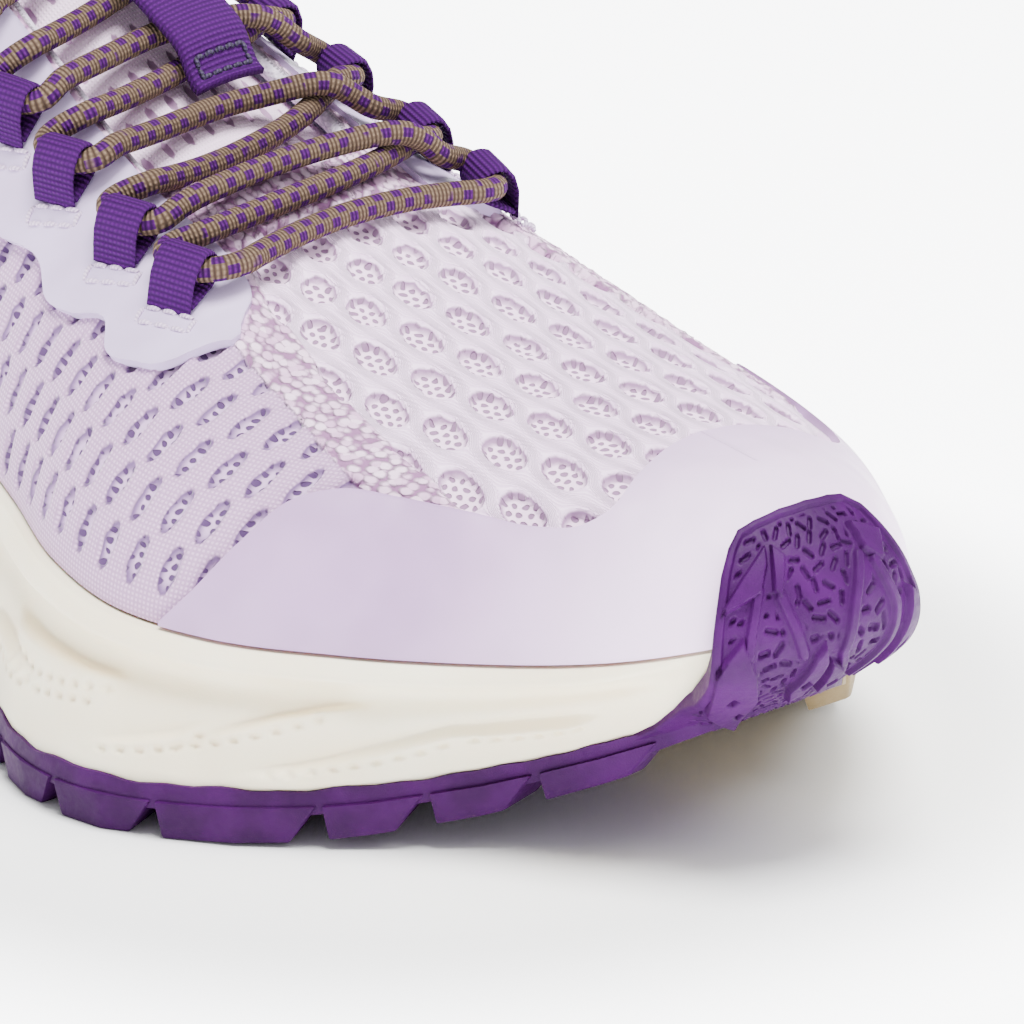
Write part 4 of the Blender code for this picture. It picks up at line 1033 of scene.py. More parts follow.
LACE_SHORT = LOOP_EYE + EYE_HEIGHT / 2 + 2 * GAP  # from a loop's middle to the lace's bend
LACE_ON_UPPER = LACE_RADIUS + 0.45
LACE_ON_TONGUE = LACE_RADIUS - UPPER_WALL - TONGUE_GAP + 1.4 * GAP
LACE_SAG = 2.4  # power by which a strand comes down from its loops
CROSS_POWER = math.log(0.5) / math.log((1 + LACE_CROSS) / 2)
CROSS_HUMP = 4.6  # half length of the hump where one strand passes over another
BAR_X = EYELET_X[0] + 2.0
BAR_BOW = 2.0  # the bar reaches forward to its loops by this
EYE_MIDDLE = LOOP_LIFT + EYE_HEIGHT / 2
LACE_RIB = 0.56
LACE_ROWS = 6
LACE_FLECK = 2.9  # spacing of the flecks along the lace
LACE_DARK = linear(60, 46, 38)
LACE_LIGHT = linear(126, 105, 86)
FLECK_DARK = linear(42, 6, 58)
FLECK_LIGHT = linear(84, 24, 106)
WEB_DARK = linear(44, 4, 62)
WEB_LIGHT = linear(72, 12, 96)
LACE_LOOK_RADIUS = 1.56
KEEPER_CROWN = 0.022  # fall of the strap towards its edges
KEEPER_SIDE = 3.4  # the strap sits this much to the inner side
# Height of the strap above the last along it
KEEPER = Table(
    "x lift",
    (3.0, 2.0), (6.5, 3.0), (9.6, 3.3), (12.6, 3.3), (15.5, 3.3), (18.0, 2.7), (20.0, 1.0),
    (21.3, 0.1), (22.6, 0.0),
)
TACK_PLACE = -5.0  # middle of the sewn box, in from a loop's middle
TACK_HALF = (3.7, 1.05)
KEEPER_SEAMS = (1.2, 3.6)  # the strap's two cross seams, from its front end
THREAD_RADIUS = 0.3


def ring_tube(path, radius, sides):
    """Round tube along a path, with the length along it and the turn round it."""
    path = np.asarray(path, float)
    tangent = unit(np.gradient(path, axis=0))
    first = np.cross(tangent[0], (0.0, 0.0, 1.0))
    if np.linalg.norm(first) < 0.1:
        first = np.cross(tangent[0], (1.0, 0.0, 0.0))
    turn = np.arange(sides) * 2 * math.pi / sides
    cos, sin = np.cos(turn), np.sin(turn)
    points, values = [], []
    for place, t, run in zip(path, tangent, run_along(path)):
        first = unit(first - t * (first @ t))
        points.append(place + radius * (np.outer(cos, first) + np.outer(sin, np.cross(t, first))))
        values.append(np.stack([np.full(sides, run), cos, sin], -1))
    points = np.concatenate(points)
    faces = grid_quads(len(path), sides, close_columns=True)[:, ::-1].tolist()
    faces.append(tuple(range(sides)))
    faces.append(tuple(reversed(range(len(points) - sides, len(points)))))
    return points, faces, np.concatenate(values)


def sampled(at, run, points):
    """Places at lengths along a line of points."""
    return np.stack([np.interp(at, run, points[:, k]) for k in range(3)], -1)


def smooth_path(points, step):
    """Smooth curve through points, sampled at even steps."""
    points = np.asarray(points, float)
    run = run_along(points)
    dense = np.linspace(0, run[-1], 60 * len(points))
    curve = np.stack([curve_through(run, points[:, k], dense) for k in range(3)], -1)
    length = run_along(curve)
    return sampled(np.linspace(0, length[-1], int(length[-1] / step) + 1), length, curve)


def eye_points(k, medial, way):
    """Lace inside a loop: way 1 runs to the toe, -1 to the heel."""
    here, along, inward, out = loop_frame(EYELET_X[k], medial)
    middle = here + inward * LOOP_EYE + out * EYE_MIDDLE
    reach = LOOP_WIDTH / 2
    return [
        middle - along * way * (reach + 0.5) + inward * 0.9,
        middle - along * way * (reach - 1.4),
        middle + along * way * (reach - 1.4),
        middle + along * way * (reach + 0.5) + inward * 0.9,
    ]


def strand(k, from_medial):
    """Lace between the loops k and the pair behind them, forward from the back loop. The strand
    that starts at the lateral side crosses over the other."""
    back = EYELET_X[k + 1] + LOOP_WIDTH / 2
    front = EYELET_X[k] - LOOP_WIDTH / 2
    low = LACE_ON_UPPER if k == 0 else LACE_ON_TONGUE
    lateral, medial = (front, back) if from_medial else (back, front)
    points = []
    for s in np.linspace(-0.93, 0.93, 19):
        share = ((s + 1) / 2) ** CROSS_POWER
        x = lateral + (medial - lateral) * share
        here, _, _, out = throat_frame(x, s * (float(eyelet(x, "loop")) - LACE_SHORT))
        lift = low + (EYE_MIDDLE - low) * abs(s) ** LACE_SAG
        if not from_medial:
            apart = (front - back) * (1 - 2 * share)
            hump = 2.06 * LACE_LOOK_RADIUS * math.exp(-((apart / CROSS_HUMP) ** 2))
            lift += hump * (1 - abs(s) ** 10)
        points.append(here + out * lift)
    return points[::-1] if from_medial else points


def bar(start):
    """Straight run across the front loops, from the side that start is the sign of."""
    points = []
    for s in start * np.linspace(0.93, -0.93, 17):
        reach = s * (float(eyelet(BAR_X, "loop")) - LACE_SHORT - 0.2)
        here, _, _, out = throat_frame(BAR_X + BAR_BOW * s * s, reach)
        rise = (EYE_MIDDLE - LACE_ON_UPPER) * abs(s) ** LACE_SAG
        points.append(here + out * (LACE_ON_UPPER + rise))
    return points


def lace_route():
    """From the top lateral loop to the bar across the toe end, and up to the top medial loop."""
    last = len(EYELET_X) - 1
    points = eye_points(last, False, 1)[1:]
    medial = False
    for k in range(last - 1, -1, -1):
        points += strand(k, medial)
        medial = not medial
        points += eye_points(k, medial, 1)
    points += bar(1.0 if medial else -1.0)
    medial = not medial
    points += eye_points(0, medial, -1)
    for k in range(last):
        points += strand(k, not medial)[::-1]
        medial = not medial
        points += eye_points(k + 1, medial, -1)
    return points[:-1]


def build_lace(look):
    points, faces, values = ring_tube(smooth_path(lace_route(), 0.55), LACE_LOOK_RADIUS, 14)
    mesh = mesh_of("lace", points, faces, {"place": values}, weld=False, turn=True)
    crossings = [f"lace_cross_{k + 1}" for k in range(len(EYELET_X) - 1)]
    return piece("lace", mesh, look, "lace", "lace_bar", *crossings)


def lace_look():
    look = Look("braided_lace", 0.9, Specular_IOR_Level=0.15)
    run, c, s = look.parts(look.place())
    turn = look.math("ARCTAN2", s, c)
    around = look.product(turn, LACE_ROWS / (2 * math.pi))
    shift = look.product(look.math("FLOOR", around), 0.5)
    along = look.math("FRACT", look.math("ADD", look.product(run, 1 / LACE_FLECK), shift))
    across = look.math("FRACT", around)
    long = look.ramp(look.math("ABSOLUTE", look.math("SUBTRACT", along, 0.5)), 0.25, 0.20)
    wide = look.ramp(look.math("ABSOLUTE", look.math("SUBTRACT", across, 0.5)), 0.42, 0.34)
    worn = look.ramp(look.noise(look.place(), 0.35, 1.0), 0.32, 0.42)
    yarn = look.half(look.math("SINE", look.product(turn, 14.0)))
    weave = look.product(look.wave(run, LACE_RIB), look.half(yarn))
    taupe = look.mix(weave, LACE_DARK, LACE_LIGHT)
    purple = look.mix(weave, FLECK_DARK, FLECK_LIGHT)
    look.colour(look.mix(look.product(long, wide, worn), taupe, purple))
    return look.bump((weave, 0.24))


def loop_profile(radius, thick):
    """Outline of a loop's strap, as lengths in to the throat and up: flat under the eye, round it,
    and down into the film. Thick moves it to the strap's inner face."""
    middle = EYE_HEIGHT / 2
    low = [(x, thick) for x in (-LOOP_BASE, -2.1, -1.0)]
    fold = [(LOOP_EYE + radius * math.cos(t), middle + radius * math.sin(t))
            for t in np.radians(np.linspace(-90, 90, 19))]
    high = [(-0.8, 2 * middle - 0.7 - thick), (-2.1, middle * 1.3 - thick)]
    end = [(-LOOP_BASE, 1.7 - thick), (-LOOP_BASE - 0.9, -0.2 - 0.3 * thick)]
    return np.array(low + fold + high + end)


def build_loops(look):
    """Webbing straps folded round an eye."""
    outer = loop_profile(EYE_HEIGHT / 2, 0.0)
    inner = loop_profile(EYE_HEIGHT / 2 - LOOP_THICK, LOOP_THICK)
    run = run_along(outer)
    widths = np.array([-1.0, -0.96, -0.85, -0.5, 0.0, 0.5, 0.85, 0.96, 1.0]) * LOOP_WIDTH / 2
    rings, marks = [], []
    for w in widths:
        thin = 0.28 * soft_step(abs(w) / LOOP_WIDTH, 0.41, 0.5)
        sides = outer + (inner - outer) * thin, inner + (outer - inner) * thin
        rings.append(np.concatenate([sides[0], sides[1][::-1]]))
        marks.append(np.stack(arrays(np.concatenate([run, run[::-1]]), w, 0.0), -1))
    faces = strap_faces(len(widths), 2 * len(run))
    solids, names = [], []
    for side in ("lateral", "medial"):
        for k, x in enumerate(EYELET_X):
            here, along, inward, out = loop_frame(x, side == "medial")
            points = [here + along * w + np.outer(ring[:, 0], inward)
                      + np.outer(ring[:, 1] + LOOP_LIFT, out) for w, ring in zip(widths, rings)]
            solids.append((np.concatenate(points), faces))
            names.append(f"lace_loop_{side}_{k + 1}")
    points, faces = joined(solids)
    values = {"place": np.tile(np.concatenate(marks), (len(names), 1))}
    mesh = mesh_of("lace_loops", points, faces, values, weld=False, turn=True)
    return piece("lace_loops", mesh, look, "webbing", *names)


def webbing_look():
    look = Look("purple_webbing", 0.85, Specular_IOR_Level=0.15)
    run, across, _ = look.parts(look.place())
    weave = look.product(look.wave(run, 0.72), look.half(look.wave(across, 0.62)))
    look.colour(look.mix(weave, WEB_DARK, WEB_LIGHT))
    return look.bump((weave, 0.22))


def build_keeper(look):
    """Webbing strap on the tongue with the lace beneath it. Gives its upper face, the directions
    out of it and the length along it."""
    x = np.linspace(KEEPER["x"][-1], KEEPER["x"][0], 60)
    reach = np.linspace(-1, 1, 15) * KEEPER_HALF_WIDTH
    lower, normal = np.empty((2, len(x), len(reach), 3))
    for i, (place, up) in enumerate(zip(x, KEEPER.at("lift", x))):
        here, _, across, out = throat_frame(place, 0.0)
        fall = np.outer(up - KEEPER_CROWN * reach**2, out)
        lower[i] = here + np.outer(reach + KEEPER_SIDE, across) + fall
        normal[i] = out
    run = run_along(lower[:, len(reach) // 2])
    thin = np.where(np.abs(reach) > KEEPER_HALF_WIDTH - 0.5, 0.75, 1.0)
    upper = lower + normal * (KEEPER_THICK * thin)[:, None]
    ring = np.concatenate([upper, lower[:, ::-1]], 1)
    marks = np.stack(arrays(run[:, None], np.concatenate([reach, reach[::-1]]), 0.0), -1)
    mesh = mesh_of("lace_keeper", ring, strap_faces(*ring.shape[:2]),
                   {"place": marks.reshape(-1, 3)}, weld=False, turn=True)
    piece("keeper_strap", mesh, look, "webbing", "lace_keeper")
    return upper, normal, run


def stitches(name, runs, look, slot, dash, gap):
    """Thread along surface lines: short stitches that dip at both ends."""
    dip = (np.sin(np.linspace(0, math.pi, 7)) ** 0.6 - 0.65) * THREAD_RADIUS * 1.3
    solids, values = [], []
    for path, normal in runs:
        path, normal = np.asarray(path), np.asarray(normal)
        run = run_along(path)
        count = max(1, int(round((run[-1] + gap) / (dash + gap))))
        size = (run[-1] + gap) / count
        for k in range(count):
            at = np.linspace(k * size, (k + 1) * size - gap, len(dip))
            where = sampled(at, run, path) + sampled(at, run, normal) * dip[:, None]
            points, faces, marks = ring_tube(where, THREAD_RADIUS, 7)
            solids.append((points, faces))
            values.append(marks)
    points, faces = joined(solids)
    mesh = mesh_of(name, points, faces, {"place": np.concatenate(values)}, weld=False, turn=True)
    return piece(name, mesh, look, slot)


def thread_look(name, dark, light):
    look = Look(name, 0.6)
    run, c, s = look.parts(look.place())
    turn = look.product(look.math("ARCTAN2", s, c), 0.07)
    twist = look.wave(look.math("ADD", run, turn), 0.45)
    look.colour(look.mix(twist, dark, light))
    return look.bump((twist, 0.08))


def film_place(x, side, along, inward):
    """Place on the film near a loop, by lengths along the loop's eye and in to the throat."""
    reach = float(eyelet(x, "loop"))
    _, way, across, _ = throat_frame(x, side * reach)
    cos, sin = math.cos(LOOP_TURN), math.sin(LOOP_TURN)
    forward, into = along * cos - inward * sin, inward * cos + along * sin
    level = math.hypot(across[0], across[1])
    here, _, _, out = throat_frame(x + forward * way[0], side * (reach - into * level))
    return here + out * (GAP + FILM + 0.05), out


def build_tacks(look):
    """Sewn boxes in the film under each loop, where the strap is held from behind."""
    long, wide = TACK_HALF
    corners = np.array([(-long, -wide), (long, -wide), (long, wide), (-long, wide)])
    runs = []
    for side in (-1, 1):
        for x in EYELET_X:
            for a, b in zip(corners, np.roll(corners, -1, 0)):
                spots = [a + (b - a) * t + (0.0, TACK_PLACE) for t in np.linspace(0.06, 0.94, 9)]
                runs.append(list(zip(*(film_place(x, side, *spot) for spot in spots))))
    return stitches("bar_tacks", runs, look, "eyestay_film", 1.8, 0.5)


def build_keeper_stitches(strap, look):
    """Two cross seams near the strap's front end, and the two seams between them."""
    upper, normal, run = strap
    seam = upper + normal * 0.1
    front, back = (int(np.argmin(np.abs(run - at))) for at in KEEPER_SEAMS)
    across, along = slice(2, -2), slice(front, back + 1)
    runs = [(seam[i, across], normal[i, across]) for i in (front, back)]
    runs += [(seam[along, j], normal[along, j]) for j in (2, -3)]
    return stitches("keeper_stitches", runs, look, "webbing", 1.3, 0.45)


# Tongue

TONGUE_SLOT = (5.0, 3.5)  # row spacing along the tongue, and pitch across it
TONGUE_SLOT_SIZE = (1.5, 0.6)
TONGUE_SLOT_DEPTH = 0.55
TONGUE_ROUND = 6.0  # its top corners are rounded over this length
TONGUE_FINE = -34.0  # rows are closer together behind this
TONGUE_DARK = linear(236, 204, 232)
TONGUE_LIGHT = linear(252, 228, 248)
# Painted shade in the tongue's slots
TONGUE_SLOT_SHADE = linear(160, 122, 158)


def tongue_slots(x, reach):
    """Distance inside the nearest slot."""
    row_step, pitch = TONGUE_SLOT
    near = np.full(x.shape, FAR)
    for step in NEIGHBOURS:
        row = np.round(x / row_step) + step
        offset, _ = from_nearest(reach - np.where(row % 2 == 0, 0.0, pitch / 2), pitch)
        near = np.minimum(near, oval(x - row * row_step, offset, 0.0, TONGUE_SLOT_SIZE)[0])
    return (1 - near) * 0.8


def build_tongue(look):
    x = np.concatenate([np.linspace(TONGUE_FRONT, TONGUE_FINE, 140),
                        np.linspace(TONGUE_FINE - 0.3, TONGUE_TOP, 36)])[:, None]
    corner = 1 - np.clip((x - TONGUE_TOP) / TONGUE_ROUND, 0, 1)
    half = TONGUE.at("half_width", x) * np.sqrt(np.clip(1 - corner**2, 0.3, 1))
    share = np.linspace(-1, 1, 80)
    reach = half * share
    grid = tongue_point(x, reach)
    normal = np.cross(np.gradient(grid, axis=1), np.gradient(grid, axis=0))
    normal = unit(normal * np.sign(normal[..., 2:] + 1e-9))
    ends = np.clip((x - TONGUE_TOP) / 2.5, 0, 1) * np.clip((TONGUE_FRONT - x) / 2.0, 0.1, 1)
    full = np.sqrt(np.clip(1 - np.abs(share) ** 10, 0, 1) * ends)
    thick = 0.5 * TONGUE_THICK * (0.15 + 0.85 * full)
    middle = grid - normal * (UPPER_WALL + TONGUE_GAP + 0.5 * TONGUE_THICK)
    pit = tongue_slots(np.broadcast_to(x, reach.shape), reach)
    pit = np.minimum(pit, half * (1 - np.abs(share)) - 2.0)
    top = middle + normal * (thick - TONGUE_SLOT_DEPTH * soft_step(pit, -0.1, 0.35))[..., None]
    bottom = middle - normal * thick[..., None]
    ring = np.concatenate([top, bottom[:, ::-1]], 1)
    place = np.stack(arrays(x, np.concatenate([reach, reach[:, ::-1]], 1), 0.0), -1)
    pits = np.concatenate([pit, np.full_like(pit, -2.0)], 1)
    values = {"place": place.reshape(-1, 3), "pit": pits.ravel()}
    mesh = mesh_of("tongue", ring, strap_faces(*ring.shape[:2]), values, turn=True)
    made = piece("tongue_pad", mesh, look, "tongue_mesh", "tongue")
    return made


def tongue_look():
    look = Look("tongue_mesh", 0.9, Sheen_Weight=0.25)
    x, reach, _ = look.parts(look.place())
    # Painted shade: the slots are painted darker, standing in for the shade in them
    hole = look.ramp(look.value("pit"), -0.05, 0.12)
    knit = look.product(look.wave(x, 0.55), look.wave(reach, 0.5))
    look.colour(look.mix(hole, look.mix(knit, TONGUE_DARK, TONGUE_LIGHT), TONGUE_SLOT_SHADE))
    return look.bump((look.product(knit, look.less(hole)), 0.12))


# Sole

# Creases of the midsole's side as (x, share of its height), with dots in rows beneath them
CREASES = (
    ((41.4, 0.59), (47.8, 0.57), (54.0, 0.58), (59.4, 0.59), (66.0, 0.62)),
    ((59.8, 0.18), (66.5, 0.28), (71.2, 0.36), (75.4, 0.51)),
    ((73.0, 0.34), (77.8, 0.45), (81.8, 0.54), (86.3, 0.60), (91.5, 0.64)),
    ((76.5, 0.12), (84.1, 0.20), (89.0, 0.27), (93.9, 0.35), (98.5, 0.43), (103.2, 0.42),
     (115.0, 0.38)),
)
CREASE_OUT = (1.7, 1.1, 1.7, 1.4)
DOT_ROWS = (
    ((44.0, 0.47), (51.4, 0.43), (59.8, 0.50), (65.0, 0.56)),
    ((46.0, 0.38), (52.3, 0.34), (61.6, 0.44)),
    ((63.2, 0.18), (68.7, 0.23), (72.9, 0.32), (75.4, 0.46)),
    ((71.2, 0.27), (75.8, 0.34), (80.3, 0.43), (83.4, 0.49), (86.3, 0.55)),
    ((80.9, 0.14), (88.1, 0.20), (91.4, 0.23), (96.1, 0.29), (99.4, 0.37)),
    ((100.7, 0.36), (105.9, 0.32), (112.3, 0.32)),
)
CREASE_REPEAT = 62.0  # the creases come again this much further back, CREASE_TIMES in all
CREASE_TIMES = 4
SIDE_TALL = 19.0
DOT_PITCH = 2.1
DOT_RADIUS = 0.5
DOT_DEPTH = 0.6
LIP_LEVEL = 0.87
FOOTBED_START = RIM_WIDTH + 0.8
FOAM_DARK = linear(250, 236, 206)
FOAM_LIGHT = linear(252, 242, 216)
INSOLE_DARK = linear(150, 138, 160)
INSOLE_LIGHT = linear(186, 174, 194)
INSOLE_SKIRT = 2.9  # the pad laps the midsole's rim up to this far in from the feather line
# Rings of the insole's top: share of the way in from its edge, and how far it cups up there
INSOLE_CUP = (
    (1.0, 0.0), (0.75, 0.0), (0.5, 0.1), (0.3, 0.5), (0.15, 1.2), (0.06, 1.9), (0.02, 1.6),
)
LIP_UP = 0.035  # share of the midsole's height that the rubber laps
SLAB_OUT = 0.5
LUG_ROUND = 0.45


def crease_relief(x, height):
    """Steps below listed creases, rows of small dots and the thin ridge under the lip."""
    out = np.zeros(np.broadcast(x, height).shape)
    dots = np.full(out.shape, FAR)
    for place in (x + k * CREASE_REPEAT for k in range(CREASE_TIMES)):
        for rows, step in zip(CREASES, CREASE_OUT):
            knots, levels = np.transpose(rows)
            below = (np.interp(place, knots, levels) - height) * SIDE_TALL
            start = soft_step(place, knots[0], knots[0] + 6)
            end = soft_step(place, knots[-1] - 5, knots[-1])
            ledge = np.exp(-np.clip(below, 0, None) / 5.0) * soft_step(below, -0.5, 0.7)
            groove = 0.45 * np.exp(-np.abs(below + 0.6) / 1.6)
            out += start * (1 - end) * step * (ledge - groove)
        for rows in DOT_ROWS:
            knots, levels = np.transpose(rows)
            spots = np.arange(knots[0], knots[-1], DOT_PITCH)
            for spot, level in zip(spots, np.interp(spots, knots, levels)):
                dots = np.minimum(dots, np.hypot(place - spot, (height - level) * SIDE_TALL))
    fade = soft_step(height, 0.02, 0.1) * (1 - soft_step(height, 0.7, 0.82))
    ridge = 0.4 * np.exp(-((height - LIP_LEVEL) / 0.028) ** 2) * (1 - soft_step(x, 112, 120))
    return fade * (out - DOT_DEPTH * soft_step(DOT_RADIUS - dots, -0.2, 0.25)) + ridge


def build_midsole(look):
    angle = round_stations(lambda x: np.where(x > 36, 0.45, 1.0))
    heights = np.concatenate([np.linspace(0, 0.66, 62), np.linspace(0.68, 1, 18)])
    rows = [under_ring(angle, share, 0.0, 0.0) for share in (1.0, 0.7, 0.4, 0.15, 0.04)]
    sides = midsole_side(angle[:, None], heights)
    rim = inset(angle, RIM_WIDTH)
    rim[..., 2] -= GAP
    bed = [bed_ring(angle, FOOTBED_START, share, 0.0) for share in (0.0, 0.5, 1.0)]
    grid = np.concatenate([np.stack(rows, 1), sides, rim[:, None], np.stack(bed, 1)], 1)
    relief = np.zeros(grid.shape[:2])
    relief[:, len(rows):len(rows) + len(heights)] = crease_relief(feather(angle)[:, :1], heights)
    values = {"place": grid.reshape(-1, 3), "shift": relief.ravel()}
    mesh = mesh_of("midsole", grid, grid_quads(*relief.shape), values)
    return piece("midsole_foam", mesh, look, "foam", "midsole")


def foam_look():
    look = Look("foam", 0.5, Specular_IOR_Level=0.4, Subsurface_Weight=0.08, Subsurface_Scale=0.004)
    place = look.place()
    tone = look.ramp(look.noise(place, 0.05, 2.0), 0.3, 0.7)
    look.colour(look.mix(tone, FOAM_DARK, FOAM_LIGHT))
    return look.bump((look.noise(place, 0.25, 2.0), 0.25), (look.noise(place, 4.0), 0.03))


def build_insole(look):
    angle = round_stations(lambda x: np.full_like(x, 2.5))
    distance = FOOTBED_START + GAP
    top = GAP + INSOLE_THICK - 0.6
    rows = [bed_ring(angle, distance, share, top + cup) for share, cup in INSOLE_CUP]
    skirt = inset(angle, INSOLE_SKIRT)
    rows += [skirt + (0.0, 0.0, 1.1), skirt + (0.0, 0.0, 0.3)]
    rows += [bed_ring(angle, distance, share, GAP) for share in (0.0, 1.0)]
    grid = np.stack(rows, 1)
    faces = grid_quads(*grid.shape[:2])[:, ::-1]
    mesh = mesh_of("insole", grid, faces, {"place": grid.reshape(-1, 3)}, turn=True)
    made = piece("insole_pad", mesh, look, "sockliner", "insole")
    return made


def insole_look():
    look = Look("sockliner", 0.95, Sheen_Weight=0.2)
    x, y, _ = look.parts(look.place())
    weave = look.product(*(look.wave(look.math(way, x, y), 1.0) for way in ("ADD", "SUBTRACT")))
    look.colour(look.mix(weave, INSOLE_DARK, INSOLE_LIGHT))
    return look.bump((weave, 0.12))


def slab(angle, middle):
    """Closed slab of sole rubber between two angles round the shoe, with a lip up the midsole."""
    shares = (middle, 0.75, 0.5, 0.25, 0.08)
    low = -GAP - OUTSOLE_THICK
    away = np.concatenate([feather_out(angle), np.zeros((len(angle), 1))], 1)
    level = LIP_UP * (1 + 0.25 * np.sin(angle * 47) + 0.2 * np.sin(angle * 113))
    lip = midsole_side(angle, level)
    rings = [under_ring(angle, s, SLAB_OUT, -GAP) for s in shares]
    rings += [lip + away * 0.02, lip + away * 0.5]
    rings.append(under_ring(angle, 0.0, SLAB_OUT + 0.1, -GAP - 0.5))
    rings.append(under_ring(angle, 0.0, SLAB_OUT - 0.25, low) + away * 0.1)
    rings += [under_ring(angle, s, SLAB_OUT, low) for s in shares[::-1]]
    return np.concatenate(np.stack(rings, 1)), strap_faces(len(angle), len(rings))


def soft_lug(points, faces):
    """Lug with its edges rounded off."""
    work = bmesh.new()
    verts = [work.verts.new(p) for p in points]
    for f in faces:
        work.faces.new([verts[v] for v in f])
    bmesh.ops.recalc_face_normals(work, faces=work.faces)
    bmesh.ops.bevel(work, geom=list(work.edges), offset=LUG_ROUND, segments=2, profile=0.6,
                    affect="EDGES")
    work.verts.index_update()
    made = np.array([v.co for v in work.verts])
    sides = [tuple(v.index for v in f.verts) for f in work.faces]
    work.free()
    return made, sides


def split_edges(made, degrees):
    """Shades edges sharp where they turn by more than an angle."""
    made.modifiers.new("edges", "EDGE_SPLIT").split_angle = math.radians(degrees)
    return made


def rubber(name, slabs, lugs, look, slot, node):
    points, faces = joined(slabs + [soft_lug(*lug) for lug in lugs])
    mesh = mesh_of(name, points, faces, {"place": points}, weld=False, turn=True)
    return split_edges(piece(name, mesh, look, slot, node), 40)


def build_outsole(look):
    heel = np.linspace(angle_at(INSERT_BACK, True), 2 * math.pi, 70)
    toe = np.linspace(math.pi, angle_at(INSERT_FRONT, True), 40)
    slabs = [slab(angle, 1.0) for angle in (np.linspace(0, math.pi, 240), toe, heel)]
    lugs = [edge_lug(row, False) for row in LATERAL_LUGS]
    lugs += [edge_lug(row, True) for row in MEDIAL_LUGS
             if not INSERT_BACK - 4 < row[0] < INSERT_FRONT]
    for row in CHEVRONS:
        lugs += chevron_arms(row, (-1, 1) if row[0] < INSERT_BACK else (-1,), 1.2)
    return rubber("outsole_rubber", slabs, lugs, look, "purple_rubber", "outsole")


def build_insert(look):
    stations = np.linspace(INSERT_BACK + GAP, INSERT_FRONT - GAP, 150)
    lugs = [edge_lug(row, True) for row in MEDIAL_LUGS
            if INSERT_BACK < row[0] and row[1] < INSERT_FRONT]
    for row in CHEVRONS:
        if row[0] > INSERT_BACK:
            lugs += chevron_arms(row, (1,), 2.6)
    slabs = [slab(angle_at(stations, True), 0.97)]
    return rubber("outsole_taupe", slabs, lugs, look, "taupe_rubber", "outsole_insert")


# Toe bumper: its upper edge by turn round the toe, as a share of the midsole's height up to 1 and
# above that as 1 + rise / BUMPER_SPAN
BUMPER_SPAN = 90.0
BUMPER_EDGE = (
    (-29.0, 0.03), (-26.5, 0.10), (-24.0, 0.25), (-21.5, 0.48), (-19.8, 0.80), (-19.2, 1.0),
    (-18.8, 1.167), (-18.4, 1.322), (-17.8, 1.433), (-16.8, 1.511), (-14.7, 1.554),
    (-10.7, 1.606), (-5.5, 1.64), (0.0, 1.644), (3.5, 1.622), (6.1, 1.533), (7.4, 1.333),
    (8.8, 1.13), (10.4, 1.0), (11.6, 0.7), (12.6, 0.2),
)
BUMPER_GRID = (350, 220)
# Raised blocks, as corners (s, v) in millimetres round the toe and up it, and ribs as centre lines
BLOCKS = (
    ((-17.2, 18.7), (-14.7, 21.6), (-11.8, 24.3), (-11.7, 22.5), (-12.6, 20.0)),
    ((-11.0, 24.2), (-9.4, 22.7), (-10.3, 19.0), (-11.1, 19.9)),
    ((-0.1, 24.4), (3.5, 22.6), (1.9, 19.9), (0.1, 21.5)),
    ((-5.9, 14.5), (-5.4, 13.0), (-6.5, 6.9), (-7.8, 3.8), (-9.0, 8.3), (-7.0, 13.6)),
    ((-4.9, 12.8), (-2.8, 11.2), (-1.5, 6.5), (-2.2, 4.0), (-4.0, 5.7)),
    ((-14.7, 16.1), (-13.5, 13.4), (-12.8, 8.1), (-15.4, -2.8), (-19.2, 6.1), (-17.8, 13.9)),
    ((4.8, 17.0), (6.2, 16.0), (9.6, 9.5), (6.5, 8.0), (4.6, 13.0)),
)
RIBS = (
    ((-12.8, 20.2), (-14.4, 13.7)),
    ((-10.4, 19.3), (-8.2, 14.0)),
    ((-0.7, 21.1), (-2.4, 17.3), (-3.6, 13.5), (-0.8, 6.0)),
    ((1.1, 20.2), (2.7, 15.9), (2.7, 13.0), (1.4, 7.5)),
)
WINDOWS = ((-16.0, 9.5), (-15.0, 4.5), (-7.2, 9.5), (-3.0, 8.2), (6.6, 11.6))
BLOCK_TALL = 1.0
RIB_TALL = 0.65
RIB_HALF = 0.5
RIM_TALL = 0.5
RIM_BAND = 1.0
PIT_PITCH = 1.75
PIT_SIZE = (0.5, 0.27)
PIT_DEPTH = 0.5
PIT_FIELD = ((-24.0, 13.0), (-2.0, 30.0))
PIT_STRAY = 0.2
FORM_EDGE = (-0.16, 0.16)  # blocks and ribs rise over this width
BUMPER_SMOOTH = 36  # passes that round the corner from midsole to upper
BUMPER_SINK = 0.9  # the wall round the bumper goes this far into what it lies on


def line_distance(s, v, line):
    """Distance in millimetres from each place to a line of corners."""
    best = np.full(s.shape, 99.0)
    for (s0, v0), (s1, v1) in zip(line[:-1], line[1:]):
        ds, dv = s1 - s0, v1 - v0
        t = np.clip(((s - s0) * ds + (v - v0) * dv) / max(ds * ds + dv * dv, 1e-9), 0, 1)
        best = np.minimum(best, np.hypot(s - s0 - t * ds, v - v0 - t * dv))
    return best


def block_depth(s, v, corners):
    """Distance in millimetres to a block's outline, positive inside it."""
    inside = np.zeros(s.shape, bool)
    for (s0, v0), (s1, v1) in zip(corners, corners[1:] + corners[:1]):
        crosses = (v0 > v) != (v1 > v)
        inside ^= crosses & (s < s0 + (v - v0) / ((v1 - v0) or 1e-9) * (s1 - s0))
    far = line_distance(s, v, corners + corners[:1])
    return np.where(inside, far, -far)


